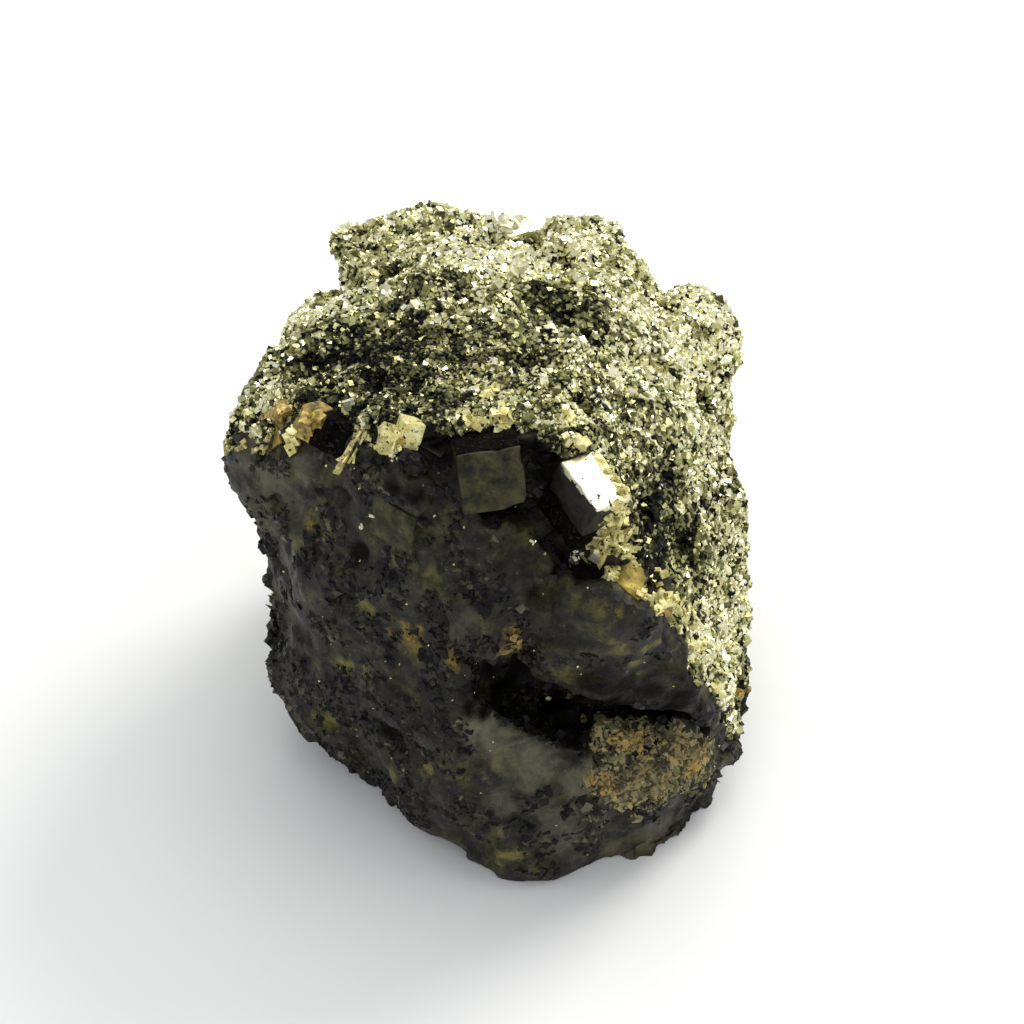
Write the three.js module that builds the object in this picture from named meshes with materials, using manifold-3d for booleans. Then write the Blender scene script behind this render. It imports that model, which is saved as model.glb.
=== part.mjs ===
// A pyrite specimen: one broken lump of intergrown iron pyrites, with a granular crystal cap over its top,
// right flank and back, a dark fractured front and left side with cube faces, and a stepped ledge low on the
// front. Millimetres, +Z up. The origin is on the resting plane, under the middle of the lump's box. +X is
// the lump's right and -Y its dark front.
import * as THREE from "three";
import { ConvexGeometry } from "three/addons/geometries/ConvexGeometry.js";
import { ConvexHull } from "three/addons/math/ConvexHull.js";
import { ImprovedNoise } from "three/addons/math/ImprovedNoise.js";
import { mergeVertices } from "three/addons/utils/BufferGeometryUtils.js";
import Module from "manifold-3d";

// Driving dimensions
const WIDTH = 32;
const DEPTH = 36;
const HEIGHT = 31;

// Roughness of the broken surface: each size of swelling with its height
const SWELLINGS = [
  { wavelength: 8, height: 1.1 },
  { wavelength: 3.4, height: 0.7 },
];

// Crystals that stud the surface, and pits between them: the share of a mass's facets that carry one, the
// range of its sizes, how deep its middle is sunk as a share of its height, and how far it may lean, in
// radians
const SEED = 20;
const CAP_STUDS = { share: 0.034, edge: [1, 1.8], sunk: 0.38, lean: 1.2 };
const FRONT_STUDS = { share: 0.02, edge: [1.4, 2.8], sunk: 0.42, lean: 0.16 };
const PITS = { share: 0.007, radius: [0.6, 1.7] };

const UP = new THREE.Vector3(0, 0, 1);

const wasm = await Module();
wasm.setup();
THREE.MathUtils.seededRandom(SEED);

// A place in the lump: across from -1 at the left to 1, along from -1 at the front to 1, up from 0 to 1.
function place([across, along, up]) {
  return new THREE.Vector3((across * WIDTH) / 2, (along * DEPTH) / 2, up * HEIGHT);
}

function between([low, high]) {
  return low + (high - low) * THREE.MathUtils.seededRandom();
}

// Corners of the convex masses that the lump is grown together from, with the fineness of each one's facets,
// and whether the granular cap covers it.
const MASSES = {
  core: {
    cap: true,
    detail: 10,
    corners: [
      [-1.05, -0.22, 0.76],
      [-1.02, -0.23, 0.6],
      [-0.56, -0.5, 0.9],
      [-0.1, -0.61, 0.97],
      [0.16, -0.63, 0.95],
      [0.37, -0.7, 0.84],
      [0.44, -0.71, 0.68],
      [0.66, -0.67, 0.45],
      [0.84, -0.62, 0.19],
      [0.92, -0.38, 0.14],
      [0.89, 0, 0.46],
      [0.85, 0.25, 0.6],
      [0.8, 0.55, 0.7],
      [0.45, 0.7, 0.83],
      [-0.2, 0.76, 0.85],
      [-0.62, 0.66, 0.82],
      [-0.85, 0.52, 0.8],
      [-0.98, 0.12, 0.79],
      [-0.92, -0.25, 0.28],
      [-0.84, -0.33, 0.1],
      [-0.45, 0.86, 0.45],
      [0.4, 0.9, 0.4],
      [-0.6, 0.6, -0.05],
      [0.5, 0.7, -0.05],
      [0.85, 0.3, -0.05],
      [0.88, -0.36, -0.05],
      [0.1, -0.65, -0.05],
      [-0.42, -0.5, -0.05],
      [-0.7, 0.1, -0.05],
    ],
  },
  prow: {
    cap: false,
    detail: 6,
    corners: [
      [-0.97, -0.24, 0.68],
      [-0.5, -0.53, 0.86],
      [-0.14, -0.66, 0.92],
      [-0.2, -0.74, 0.8],
      [-0.15, -0.82, 0.58],
      [-0.18, -0.88, 0.43],
      [-0.17, -0.95, 0.22],
      [-0.04, -0.98, 0.08],
      [0.02, -0.98, -0.05],
      [-0.28, -0.82, -0.05],
      [-0.5, -0.67, -0.05],
      [-0.64, -0.54, 0.05],
      [-0.83, -0.42, 0.09],
      [-0.95, -0.34, 0.13],
      [-1.03, -0.28, 0.19],
      [-0.96, -0.26, 0.5],
      [0.2, -0.2, 0],
      [0, 0, 0.7],
      [-0.5, 0.2, 0.6],
      [-0.5, 0.2, 0.2],
    ],
  },
  slab: {
    cap: false,
    detail: 5,
    corners: [
      [0.03, -0.8, 0.69],
      [0.2, -0.83, 0.72],
      [0.36, -0.81, 0.7],
      [0.52, -0.8, 0.6],
      [0.69, -0.76, 0.45],
      [0.82, -0.7, 0.26],
      [0.6, -0.68, 0.24],
      [0.33, -0.7, 0.3],
      [0.15, -0.72, 0.36],
      [0, -0.74, 0.46],
      [0.05, -0.3, 0.66],
      [0.4, -0.3, 0.66],
      [0.6, -0.3, 0.3],
      [0.1, -0.3, 0.35],
    ],
  },
  ledge: {
    cap: false,
    detail: 4,
    corners: [
      [-0.17, -0.82, 0.36],
      [0.25, -0.78, 0.27],
      [0.72, -0.64, 0.23],
      [0.84, -0.5, 0.24],
      [-0.1, -0.3, 0.34],
      [-0.16, -0.95, 0.25],
      [0.29, -0.95, 0.22],
      [0.69, -0.8, 0.12],
      [0.86, -0.6, 0.14],
      [-0.05, -0.98, -0.05],
      [0.24, -1, -0.05],
      [0.5, -0.89, -0.05],
      [0.66, -0.76, -0.05],
      [0.8, -0.62, -0.05],
      [0.84, -0.4, -0.05],
      [0, -0.2, -0.05],
      [0.6, -0.2, 0.1],
    ],
  },
  rear: {
    cap: true,
    detail: 5,
    corners: [
      [-0.68, 0.72, 0.72],
      [-0.45, 0.86, 0.74],
      [-0.08, 0.87, 0.8],
      [0.06, 0.87, 0.8],
      [0.5, 0.84, 0.74],
      [0.74, 0.68, 0.6],
      [-0.72, 0.7, 0.3],
      [-0.4, 0.93, 0.42],
      [0.35, 0.97, 0.36],
      [0.72, 0.78, 0.25],
      [-0.45, 0.72, -0.05],
      [0.4, 0.8, -0.05],
      [-0.5, 0.2, 0.6],
      [0.5, 0.2, 0.6],
      [0, 0.2, 0.2],
    ],
  },
  knob: {
    cap: true,
    detail: 4,
    corners: [
      [-0.76, 0.8, 0.85],
      [-0.75, 0.6, 0.83],
      [-0.49, 0.85, 0.86],
      [-0.45, 0.88, 0.87],
      [-0.32, 0.9, 0.87],
      [-0.2, 0.82, 0.87],
      [-0.02, 0.82, 0.86],
      [-0.52, 0.5, 0.85],
      [-0.2, 0.6, 0.86],
      [-0.62, 0.76, 0.55],
      [-0.3, 0.92, 0.5],
      [-0.4, 0.5, 0.6],
    ],
  },
  hump: {
    cap: true,
    detail: 4,
    corners: [
      [0.12, 0.84, 0.86],
      [0.28, 0.86, 0.88],
      [0.41, 0.83, 0.85],
      [0.47, 0.7, 0.83],
      [0.57, 0.57, 0.82],
      [0.13, 0.54, 0.89],
      [0.35, 0.5, 0.88],
      [0.1, 0.9, 0.5],
      [0.5, 0.86, 0.45],
      [0.3, 0.4, 0.6],
    ],
  },
  shoulder: {
    cap: true,
    detail: 4,
    corners: [
      [0.6, 0.57, 0.8],
      [0.78, 0.62, 0.76],
      [0.88, 0.62, 0.72],
      [0.94, 0.5, 0.66],
      [0.92, 0.4, 0.62],
      [0.88, 0.31, 0.6],
      [0.64, 0.26, 0.79],
      [0.83, 0.62, 0.35],
      [0.88, 0.35, 0.35],
      [0.5, 0.4, 0.5],
    ],
  },
  web: {
    cap: false,
    detail: 4,
    corners: [
      [-0.24, -0.8, 0.67],
      [-0.14, -0.74, 0.81],
      [-0.04, -0.79, 0.75],
      [0.11, -0.76, 0.79],
      [0.06, -0.82, 0.68],
      [0.05, -0.85, 0.56],
      [-0.18, -0.86, 0.55],
      [-0.2, -0.3, 0.75],
      [0.1, -0.3, 0.75],
      [-0.2, -0.3, 0.5],
      [0.1, -0.3, 0.5],
    ],
  },
};

// Large straight crystals: middle, edge lengths in millimetres, and turns about X, Y and Z in degrees.
const CRYSTALS = {
  olive_cube: { middle: [-0.08, -0.6, 0.87], edges: [3.3, 3.4, 3.3], turns: [-17, -6, 8] },
  bright_cube: { middle: [0.24, -0.65, 0.82], edges: [2.4, 3.3, 3.6], turns: [10, 20, 35] },
  brown_cube: { middle: [-0.36, -0.59, 0.75], edges: [3.2, 2.6, 2.6], turns: [-12, 10, -38] },
  gold_cube: { middle: [0.41, -0.7, 0.66], edges: [2.4, 2, 2.8], turns: [15, 25, -30] },
  gold_wedge: { middle: [0.5, -0.69, 0.61], edges: [1.6, 1.8, 2.2], turns: [30, 10, 20] },
  brass_cube: { middle: [-0.33, -0.56, 0.9], edges: [1.9, 2.2, 2], turns: [-30, 15, 12] },
  brass_plate: { middle: [-0.64, -0.38, 0.85], edges: [3.4, 1.6, 2], turns: [-20, 22, -25] },
  ochre_cube: { middle: [-0.82, -0.22, 0.77], edges: [2.2, 2.4, 2.2], turns: [20, 35, 15] },
};

// Corners of the deep undercut between the slab and the ledge: its mouth in the air, then its back.
const UNDERCUT = [
  [-0.15, -0.98, 0.6],
  [0.17, -0.92, 0.5],
  [0.7, -0.85, 0.4],
  [-0.16, -0.98, 0.5],
  [0.15, -0.95, 0.38],
  [0.73, -0.85, 0.37],
  [-0.12, -0.6, 0.43],
  [0.2, -0.52, 0.33],
  [0.66, -0.5, 0.25],
  [-0.12, -0.62, 0.33],
  [0.2, -0.58, 0.22],
  [0.7, -0.52, 0.2],
];

// Hollows cut into the lump: middle, edge lengths in millimetres, and turns in degrees.
const HOLLOWS = {
  crevice: { middle: [-0.1, -0.6, 0.94], edges: [5.2, 1.3, 4], turns: [-30, -5, 7] },
  cleft: { middle: [0.12, -0.7, 0.88], edges: [1.8, 3.4, 5], turns: [0, 30, 20] },
  left_pocket: { middle: [-0.27, -0.66, 0.88], edges: [2.2, 2, 2.2], turns: [20, 30, 10] },
};

// A closed geometry as a solid for joining and cutting.
function solidOf(geometry) {
  const bare = new THREE.BufferGeometry().setIndex(geometry.index);
  bare.setAttribute("position", geometry.getAttribute("position"));
  const merged = mergeVertices(bare, 1e-4);
  return new wasm.Manifold(
    new wasm.Mesh({
      numProp: 3,
      vertProperties: merged.getAttribute("position").array,
      triVerts: new Uint32Array(merged.index.array),
    }),
  );
}

function geometryOf(solid) {
  const { vertProperties, triVerts } = solid.getMesh();
  const geometry = new THREE.BufferGeometry();
  geometry.setAttribute("position", new THREE.BufferAttribute(vertProperties, 3));
  geometry.setIndex(new THREE.BufferAttribute(triVerts, 1));
  return geometry;
}

// A convex mass between its corners, skinned with even facets.
function massOf({ corners, detail }) {
  const points = corners.map(place);
  const hull = new ConvexHull().setFromPoints(points);
  const middle = new THREE.Vector3();
  for (const point of points) middle.addScaledVector(point, 1 / points.length);
  const skin = new THREE.IcosahedronGeometry(1, detail);
  const knots = skin.getAttribute("position");
  const ray = new THREE.Ray(middle);
  const hit = new THREE.Vector3();
  for (let i = 0; i < knots.count; i += 1) {
    ray.direction.fromBufferAttribute(knots, i);
    hull.intersectRay(ray, hit);
    knots.setXYZ(i, hit.x, hit.y, hit.z);
  }
  return skin;
}

function blockOf({ middle, edges, turns }) {
  const block = new THREE.BoxGeometry(...edges);
  const turn = new THREE.Euler(...turns.map(THREE.MathUtils.degToRad));
  block.applyMatrix4(new THREE.Matrix4().makeRotationFromEuler(turn));
  block.translate(...place(middle).toArray());
  return solidOf(block);
}

// The broken surface: facets pushed in and out by layered noise.
function roughen(geometry) {
  const noise = new ImprovedNoise();
  const points = geometry.getAttribute("position");
  const point = new THREE.Vector3();
  for (let i = 0; i < points.count; i += 1) {
    point.fromBufferAttribute(points, i);
    const push = new THREE.Vector3();
    for (const { wavelength, height } of SWELLINGS) {
      const at = point.clone().divideScalar(wavelength);
      push.x += height * noise.noise(at.x, at.y, at.z + 11);
      push.y += height * noise.noise(at.x + 37, at.y, at.z);
      push.z += height * noise.noise(at.x, at.y + 53, at.z);
    }
    points.setXYZ(i, point.x + push.x, point.y + push.y, point.z + push.z);
  }
  return geometry;
}

// The granular cap covers what looks up, right or back.
function isCap(out) {
  return out.z > 0.35 || out.x > 0.45 || out.y > 0.3;
}

// Facets of a skin picked at random, each with its middle and its outward direction.
function pick(skin, share, cap) {
  const points = skin.getAttribute("position");
  const facet = new THREE.Triangle();
  const picked = [];
  for (let i = 0; i < points.count; i += 3) {
    facet.setFromAttributeAndIndices(points, i, i + 1, i + 2);
    const out = facet.getNormal(new THREE.Vector3());
    const chosen = THREE.MathUtils.seededRandom() < share && (!cap || isCap(out));
    if (chosen) picked.push({ middle: facet.getMidpoint(new THREE.Vector3()), out });
  }
  return picked;
}

// A crystal grown out of a facet, leaning at random by up to its lean.
function stud({ middle, out }, { edge, sunk, lean }) {
  const edges = [between(edge), between(edge), between(edge)];
  const block = new THREE.BoxGeometry(...edges);
  block.rotateZ(between([0, Math.PI]));
  block.rotateX(between([-lean, lean]));
  block.rotateY(between([-lean, lean]));
  block.applyQuaternion(new THREE.Quaternion().setFromUnitVectors(UP, out));
  block.translate(...middle.clone().addScaledVector(out, -sunk * edges[2]).toArray());
  return solidOf(block);
}

// An uneven pit, longer one way than the other.
function pit({ middle }, { radius }) {
  const hole = new THREE.IcosahedronGeometry(1);
  hole.scale(between(radius), between(radius), between(radius));
  hole.rotateX(between([0, Math.PI]));
  hole.rotateZ(between([0, Math.PI]));
  hole.translate(...middle.toArray());
  return solidOf(hole);
}

// The body without the sealed bubbles that a crystal leaves where it closes a pit.
function withoutBubbles(body) {
  return body.decompose().reduce((kept, shell) => (shell.volume() > kept.volume() ? shell : kept));
}

function specimen() {
  const masses = [];
  const studs = [];
  const holes = Object.values(HOLLOWS).map(blockOf);
  holes.push(solidOf(new ConvexGeometry(UNDERCUT.map(place))));
  for (const mass of Object.values(MASSES)) {
    const skin = roughen(massOf(mass));
    masses.push(solidOf(skin));
    const kind = mass.cap ? CAP_STUDS : FRONT_STUDS;
    for (const spot of pick(skin, kind.share, mass.cap)) studs.push(stud(spot, kind));
    if (mass.cap) for (const spot of pick(skin, PITS.share, true)) holes.push(pit(spot, PITS));
  }
  const ground = new THREE.BoxGeometry(2 * WIDTH, 2 * DEPTH, HEIGHT);
  ground.translate(0, 0, -HEIGHT / 2);
  const crystals = Object.values(CRYSTALS).map(blockOf);
  const { union } = wasm.Manifold;
  const broken = union([...masses, ...studs]).subtract(union(holes));
  const standing = union([broken, ...crystals]).subtract(solidOf(ground));
  const lump = geometryOf(withoutBubbles(standing));
  lump.computeBoundingBox();
  const middle = lump.boundingBox.getCenter(new THREE.Vector3());
  return lump.translate(-middle.x, -middle.y, 0);
}

const brass = new THREE.MeshStandardMaterial({ color: "#7d7a58", roughness: 0.5, metalness: 0.7 });
const lump = new THREE.Mesh(specimen(), brass);
lump.name = "pyrite_lump";
const part = new THREE.Group();
part.add(lump);

export default part;
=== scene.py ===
"""Looks of the pyrite specimen: fractured body, granular crust, ridge crystals, and the studio round them."""

import itertools
import logging
import math
from dataclasses import dataclass
from enum import Enum

import bpy
import numpy as np
from mathutils import Euler, Matrix, Vector
from mathutils.bvhtree import BVHTree
from mathutils.kdtree import KDTree


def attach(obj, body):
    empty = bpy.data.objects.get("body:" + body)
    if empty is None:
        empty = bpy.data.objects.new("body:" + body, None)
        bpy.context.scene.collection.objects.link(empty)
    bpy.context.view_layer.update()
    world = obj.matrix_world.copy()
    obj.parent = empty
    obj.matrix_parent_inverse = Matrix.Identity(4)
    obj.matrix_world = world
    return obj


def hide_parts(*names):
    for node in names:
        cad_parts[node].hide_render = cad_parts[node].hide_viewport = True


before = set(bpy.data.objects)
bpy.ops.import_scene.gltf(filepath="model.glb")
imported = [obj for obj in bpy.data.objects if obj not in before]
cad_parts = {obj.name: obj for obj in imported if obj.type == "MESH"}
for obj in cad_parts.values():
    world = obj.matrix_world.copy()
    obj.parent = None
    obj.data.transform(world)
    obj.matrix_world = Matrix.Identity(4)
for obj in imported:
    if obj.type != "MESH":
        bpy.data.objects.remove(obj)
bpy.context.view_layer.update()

NODE = "pyrite_lump"
BODY = "root"
MM = 0.001
SEED = 41
LOG = logging.getLogger("pyrite_specimen")

Pixel = tuple[float, float]
Triple = tuple[float, float, float]


# Small tools

def linear(code: str) -> tuple[float, float, float, float]:
    """Turns an sRGB hex colour to linear values.

    Args:
        code: The colour as #rrggbb.

    Returns:
        Red, green, blue and a full alpha.
    """
    parts = [int(code[i:i + 2], 16) / 255 for i in (1, 3, 5)]
    red, green, blue = (p / 12.92 if p <= 0.04045 else ((p + 0.055) / 1.055) ** 2.4 for p in parts)
    return red, green, blue, 1.0


def add_node(
    tree: bpy.types.NodeTree,
    kind: str,
    settings: dict[str, object] | None = None,
    inputs: dict[str | int, object] | None = None,
    stops: list[tuple[float, str]] | None = None,
) -> bpy.types.Node:
    """Adds a shader node with its settings, its input values or links, and its ramp's colours.

    Args:
        tree: The material's node tree.
        kind: The node's type name.
        settings: The node's own properties.
        inputs: A value or an output socket for each named or numbered input.
        stops: Places and hex colours of a colour ramp.

    Returns:
        The new node.
    """
    node = tree.nodes.new(kind)
    for key, value in (settings or {}).items():
        setattr(node, key, value)
    for key, value in (inputs or {}).items():
        if isinstance(value, bpy.types.NodeSocket):
            tree.links.new(value, node.inputs[key])
        else:
            node.inputs[key].default_value = value
    for place, code in stops or []:
        element = node.color_ramp.elements.new(place)
        element.color = linear(code)
    if stops:
        node.color_ramp.elements.remove(node.color_ramp.elements[0])
        node.color_ramp.elements.remove(node.color_ramp.elements[-1])
    return node


def start_material(name: str) -> tuple[bpy.types.Material, bpy.types.NodeTree, bpy.types.Node]:
    """Starts a material.

    Args:
        name: The material's name.

    Returns:
        The material, its node tree and its shader.
    """
    made = bpy.data.materials.new(name)
    made.use_nodes = True
    return made, made.node_tree, made.node_tree.nodes["Principled BSDF"]


# Large numbers that scatter the corners of the noise's grid: one for each axis, the seed's and the mixer's
AXIS_SCATTER: tuple[int, int, int] = (73856093, 19349663, 83492791)
SEED_SCATTER = 2654435761
MIXER = 73244475
WORD = 0xFFFFFFFF


def value_noise(points: np.ndarray, wavelength: float, seed: int) -> np.ndarray:
    """Smooth random heights in space.

    Args:
        points: Places, one a row.
        wavelength: Size of one swelling, in the points' units.
        seed: Which field of noise to read.

    Returns:
        A height from -1 to 1 at each point.
    """
    grid = points / wavelength
    base = np.floor(grid).astype(np.int64)
    part = grid - base
    ease = part * part * (3 - 2 * part)
    total = np.zeros(len(points))
    for corner in itertools.product((0, 1), repeat=3):
        at = (base + np.array(corner)) * np.array(AXIS_SCATTER)
        mixed = at[:, 0] ^ at[:, 1] ^ at[:, 2] ^ (seed * SEED_SCATTER)
        for _ in range(2):
            mixed = ((mixed ^ (mixed >> 15)) * MIXER) & WORD
        share = np.where(corner, ease, 1 - ease).prod(axis=1)
        total += share * (mixed / WORD * 2 - 1)
    return total


@dataclass(frozen=True)
class Swell:
    """A layer of noise: its height, the size of its swellings in millimetres, and which field it reads."""

    height: float
    size: float
    seed: int

    def at(self, points: np.ndarray) -> np.ndarray:
        """The layer's height at each point."""
        return self.height * value_noise(points, self.size * MM, self.seed)


def smooth_step(values: np.ndarray, low: float, high: float) -> np.ndarray:
    """Eases values from 0 at low to 1 at high."""
    part = np.clip((values - low) / (high - low), 0, 1)
    return part * part * (3 - 2 * part)


def unit(vectors: np.ndarray) -> np.ndarray:
    """Scales each row to length one."""
    return vectors / np.maximum(np.linalg.norm(vectors, axis=-1, keepdims=True), 1e-12)


def points_of(piece: bpy.types.Object) -> np.ndarray:
    """Reads a mesh's vertices, one a row."""
    points = np.zeros(len(piece.data.vertices) * 3, np.float32)
    piece.data.vertices.foreach_get("co", points)
    return points.reshape(-1, 3).astype(float)


def normals_of(piece: bpy.types.Object) -> np.ndarray:
    """Reads a mesh's vertex normals, one a row."""
    normals = np.zeros(len(piece.data.vertices) * 3, np.float32)
    piece.data.vertex_normals.foreach_get("vector", normals)
    return normals.reshape(-1, 3).astype(float)


def move_points(piece: bpy.types.Object, points: np.ndarray) -> None:
    """Writes a mesh's vertices back."""
    piece.data.vertices.foreach_set("co", points.astype(np.float32).ravel())
    piece.data.update()


def write_attribute(piece: bpy.types.Object, name: str, values: np.ndarray) -> None:
    """Stores one number for each vertex, for a material to read."""
    attribute = piece.data.attributes.new(name, "FLOAT", "POINT")
    attribute.data.foreach_set("value", values.astype(np.float32))


def read_attribute(piece: bpy.types.Object, name: str) -> np.ndarray:
    """Reads back the number that is stored for each vertex."""
    values = np.zeros(len(piece.data.vertices), np.float32)
    piece.data.attributes[name].data.foreach_get("value", values)
    return values


def make_active(piece: bpy.types.Object) -> None:
    """Selects one object alone and makes it active."""
    bpy.ops.object.select_all(action="DESELECT")
    piece.select_set(True)
    bpy.context.view_layer.objects.active = piece


def apply_modifier(piece: bpy.types.Object, kind: str, **settings: object) -> None:
    """Adds a modifier with its settings and applies it at once."""
    make_active(piece)
    modifier = piece.modifiers.new(kind.lower(), kind)
    for key, value in settings.items():
        setattr(modifier, key, value)
    bpy.ops.object.modifier_apply(modifier=modifier.name)


def mesh_piece(name: str, points: np.ndarray, faces: np.ndarray) -> bpy.types.Object:
    """Makes an object from arrays of vertices and faces.

    Args:
        name: The piece's name.
        points: Vertices in metres.
        faces: Vertex numbers of each face.

    Returns:
        The new object, linked to the scene.
    """
    mesh = bpy.data.meshes.new(name)
    mesh.from_pydata(points.tolist(), [], faces.tolist())
    piece = bpy.data.objects.new(name, mesh)
    bpy.context.scene.collection.objects.link(piece)
    return piece


def random_turns(count: int, draw: np.random.Generator) -> np.ndarray:
    """Draws turns in space, alike in every direction.

    Args:
        count: How many to draw.
        draw: Source of random numbers.

    Returns:
        One turning matrix for each.
    """
    w, x, y, z = unit(draw.normal(0, 1, (count, 4))).T
    return np.stack([
        np.stack([1 - 2 * (y * y + z * z), 2 * (x * y - w * z), 2 * (x * z + w * y)], -1),
        np.stack([2 * (x * y + w * z), 1 - 2 * (x * x + z * z), 2 * (y * z - w * x)], -1),
        np.stack([2 * (x * z - w * y), 2 * (y * z + w * x), 1 - 2 * (x * x + y * y)], -1),
    ], 1)


# How far a small crystal's corners stray, as a share of its edges
CORNER_STRAY = 0.06


def crystal_heap(
    name: str, middles: np.ndarray, turns: np.ndarray, edges: np.ndarray, draw: np.random.Generator,
) -> bpy.types.Object:
    """Joins many small six-sided crystals in one mesh.

    Args:
        name: The piece's name.
        middles: The crystals' middles, in metres.
        turns: A turning matrix for each.
        edges: Three edges of each, in metres.
        draw: Source of random numbers, for corners that are a little out of true.

    Returns:
        The piece, eight vertices to a crystal.
    """
    cube = np.array(list(itertools.product((-0.5, 0.5), repeat=3)))
    sides = np.array([(0, 1, 3, 2), (4, 6, 7, 5), (0, 4, 5, 1), (2, 3, 7, 6), (0, 2, 6, 4), (1, 5, 7, 3)])
    shape = (cube + draw.normal(0, CORNER_STRAY, (len(middles), 8, 3))) * edges[:, None]
    corners = np.einsum("nij,nkj->nki", turns, shape) + middles[:, None]
    corners[..., 2] = np.maximum(corners[..., 2], 0)
    faces = (sides + 8 * np.arange(len(middles))[:, None, None]).reshape(-1, 4)
    return mesh_piece(name, corners.reshape(-1, 3), faces)


def register(piece: bpy.types.Object, finish: bpy.types.Material) -> bpy.types.Object:
    """Dresses a piece of the lump with its finish and ties it to the lump's body and material slot."""
    piece.data.materials.clear()
    piece.data.materials.append(finish)
    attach(piece, BODY)
    LOG.info("%s: %d faces", piece.name, len(piece.data.polygons))
    return piece


# The picture's view

@dataclass(frozen=True)
class PhotoView:
    """The camera at the photograph's viewing angle.

    Lengths are in millimetres, the elevation is in degrees, and the image is the picture's side in pixels.
    The depths are how far from the camera the lump can be.
    """

    image: int = 1024
    lens: float = 60.0
    sensor: float = 36.0
    elevation: float = 42.0
    distance: float = 105.0
    target: Triple = (0.733, -2.13, 16.0)
    depths: tuple[int, int] = (75, 140)
    clip: tuple[float, float] = (5.0, 20000.0)

    @property
    def focal_pixels(self) -> float:
        """The lens's length in pixels of the picture."""
        return self.image * self.lens / self.sensor

    @property
    def forward(self) -> np.ndarray:
        """The direction that the camera looks in."""
        angle = math.radians(self.elevation)
        return np.array([0, math.cos(angle), -math.sin(angle)])

    @property
    def upward(self) -> np.ndarray:
        """The picture's up direction."""
        angle = math.radians(self.elevation)
        return np.array([0, math.sin(angle), math.cos(angle)])

    @property
    def eye(self) -> np.ndarray:
        """The camera's place, in metres."""
        return (np.array(self.target) - self.distance * self.forward) * MM

    def pixels_of(self, points: np.ndarray) -> np.ndarray:
        """Finds where points show in the picture.

        Args:
            points: Places in metres, one a row.

        Returns:
            The column and row of each, in pixels.
        """
        seen = points - self.eye
        scale = self.focal_pixels / (seen @ self.forward)
        half = self.image / 2
        return np.stack([half + seen[:, 0] * scale, half - seen @ self.upward * scale], axis=1)

    def hit(self, pixel: Pixel, tree: BVHTree) -> tuple[Vector, Vector]:
        """Finds the place on a surface that shows at a pixel, or the nearest one to a pixel just past it.

        Args:
            pixel: Column and row in the picture.
            tree: The surface's faces.

        Returns:
            The place, in metres, and the surface's outward direction there.
        """
        half = self.image / 2
        across = (pixel[0] - half) / self.focal_pixels
        down = (pixel[1] - half) / self.focal_pixels
        ray = self.forward + np.array([across, 0, 0]) - down * self.upward
        place, normal, _, _ = tree.ray_cast(Vector(self.eye), Vector(unit(ray)))
        if place is None:
            steps = (Vector(self.eye + unit(ray) * depth * MM) for depth in range(*self.depths))
            place, normal, _, _ = min((tree.find_nearest(step) for step in steps), key=lambda found: found[3])
        return place, normal

    def build(self) -> bpy.types.Object:
        """Makes the camera and gives it to the scene."""
        data = bpy.data.cameras.new("photo_camera")
        data.lens = self.lens
        data.sensor_width = self.sensor
        data.clip_start, data.clip_end = (limit * MM for limit in self.clip)
        camera = bpy.data.objects.new("photo_camera", data)
        bpy.context.scene.collection.objects.link(camera)
        camera.location = self.eye
        camera.rotation_euler = (math.radians(90 - self.elevation), 0, 0)
        bpy.context.scene.camera = camera
        return camera


VIEW = PhotoView()

# The ridge between the granular cap and the dark front, as it runs across the picture, left to right
RIDGE: tuple[Pixel, ...] = (
    (225, 455), (232, 447), (262, 438), (290, 432), (330, 442), (395, 450), (428, 434), (526, 432),
    (548, 442), (566, 458), (600, 454), (622, 500), (634, 585), (655, 612), (700, 668), (735, 745),
    (748, 770),
)


# Finishes

class Fleck(Enum):
    """Marks on the dark front, each with the attribute that places it: olive and ochre stains, painted light
    and painted shade.
    """

    # Painted light: pale grey that lightens the ledge's up-facing top and other parts of the front
    PAINTED_LIGHT = "painted_light"
    OLIVE = "olive"
    OCHRE = "ochre"
    # Painted shade: black, with the sheen taken away, in the recess under the slab, the gaps along the ridge
    # and on shaded faces
    SOOT = "soot"


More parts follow.
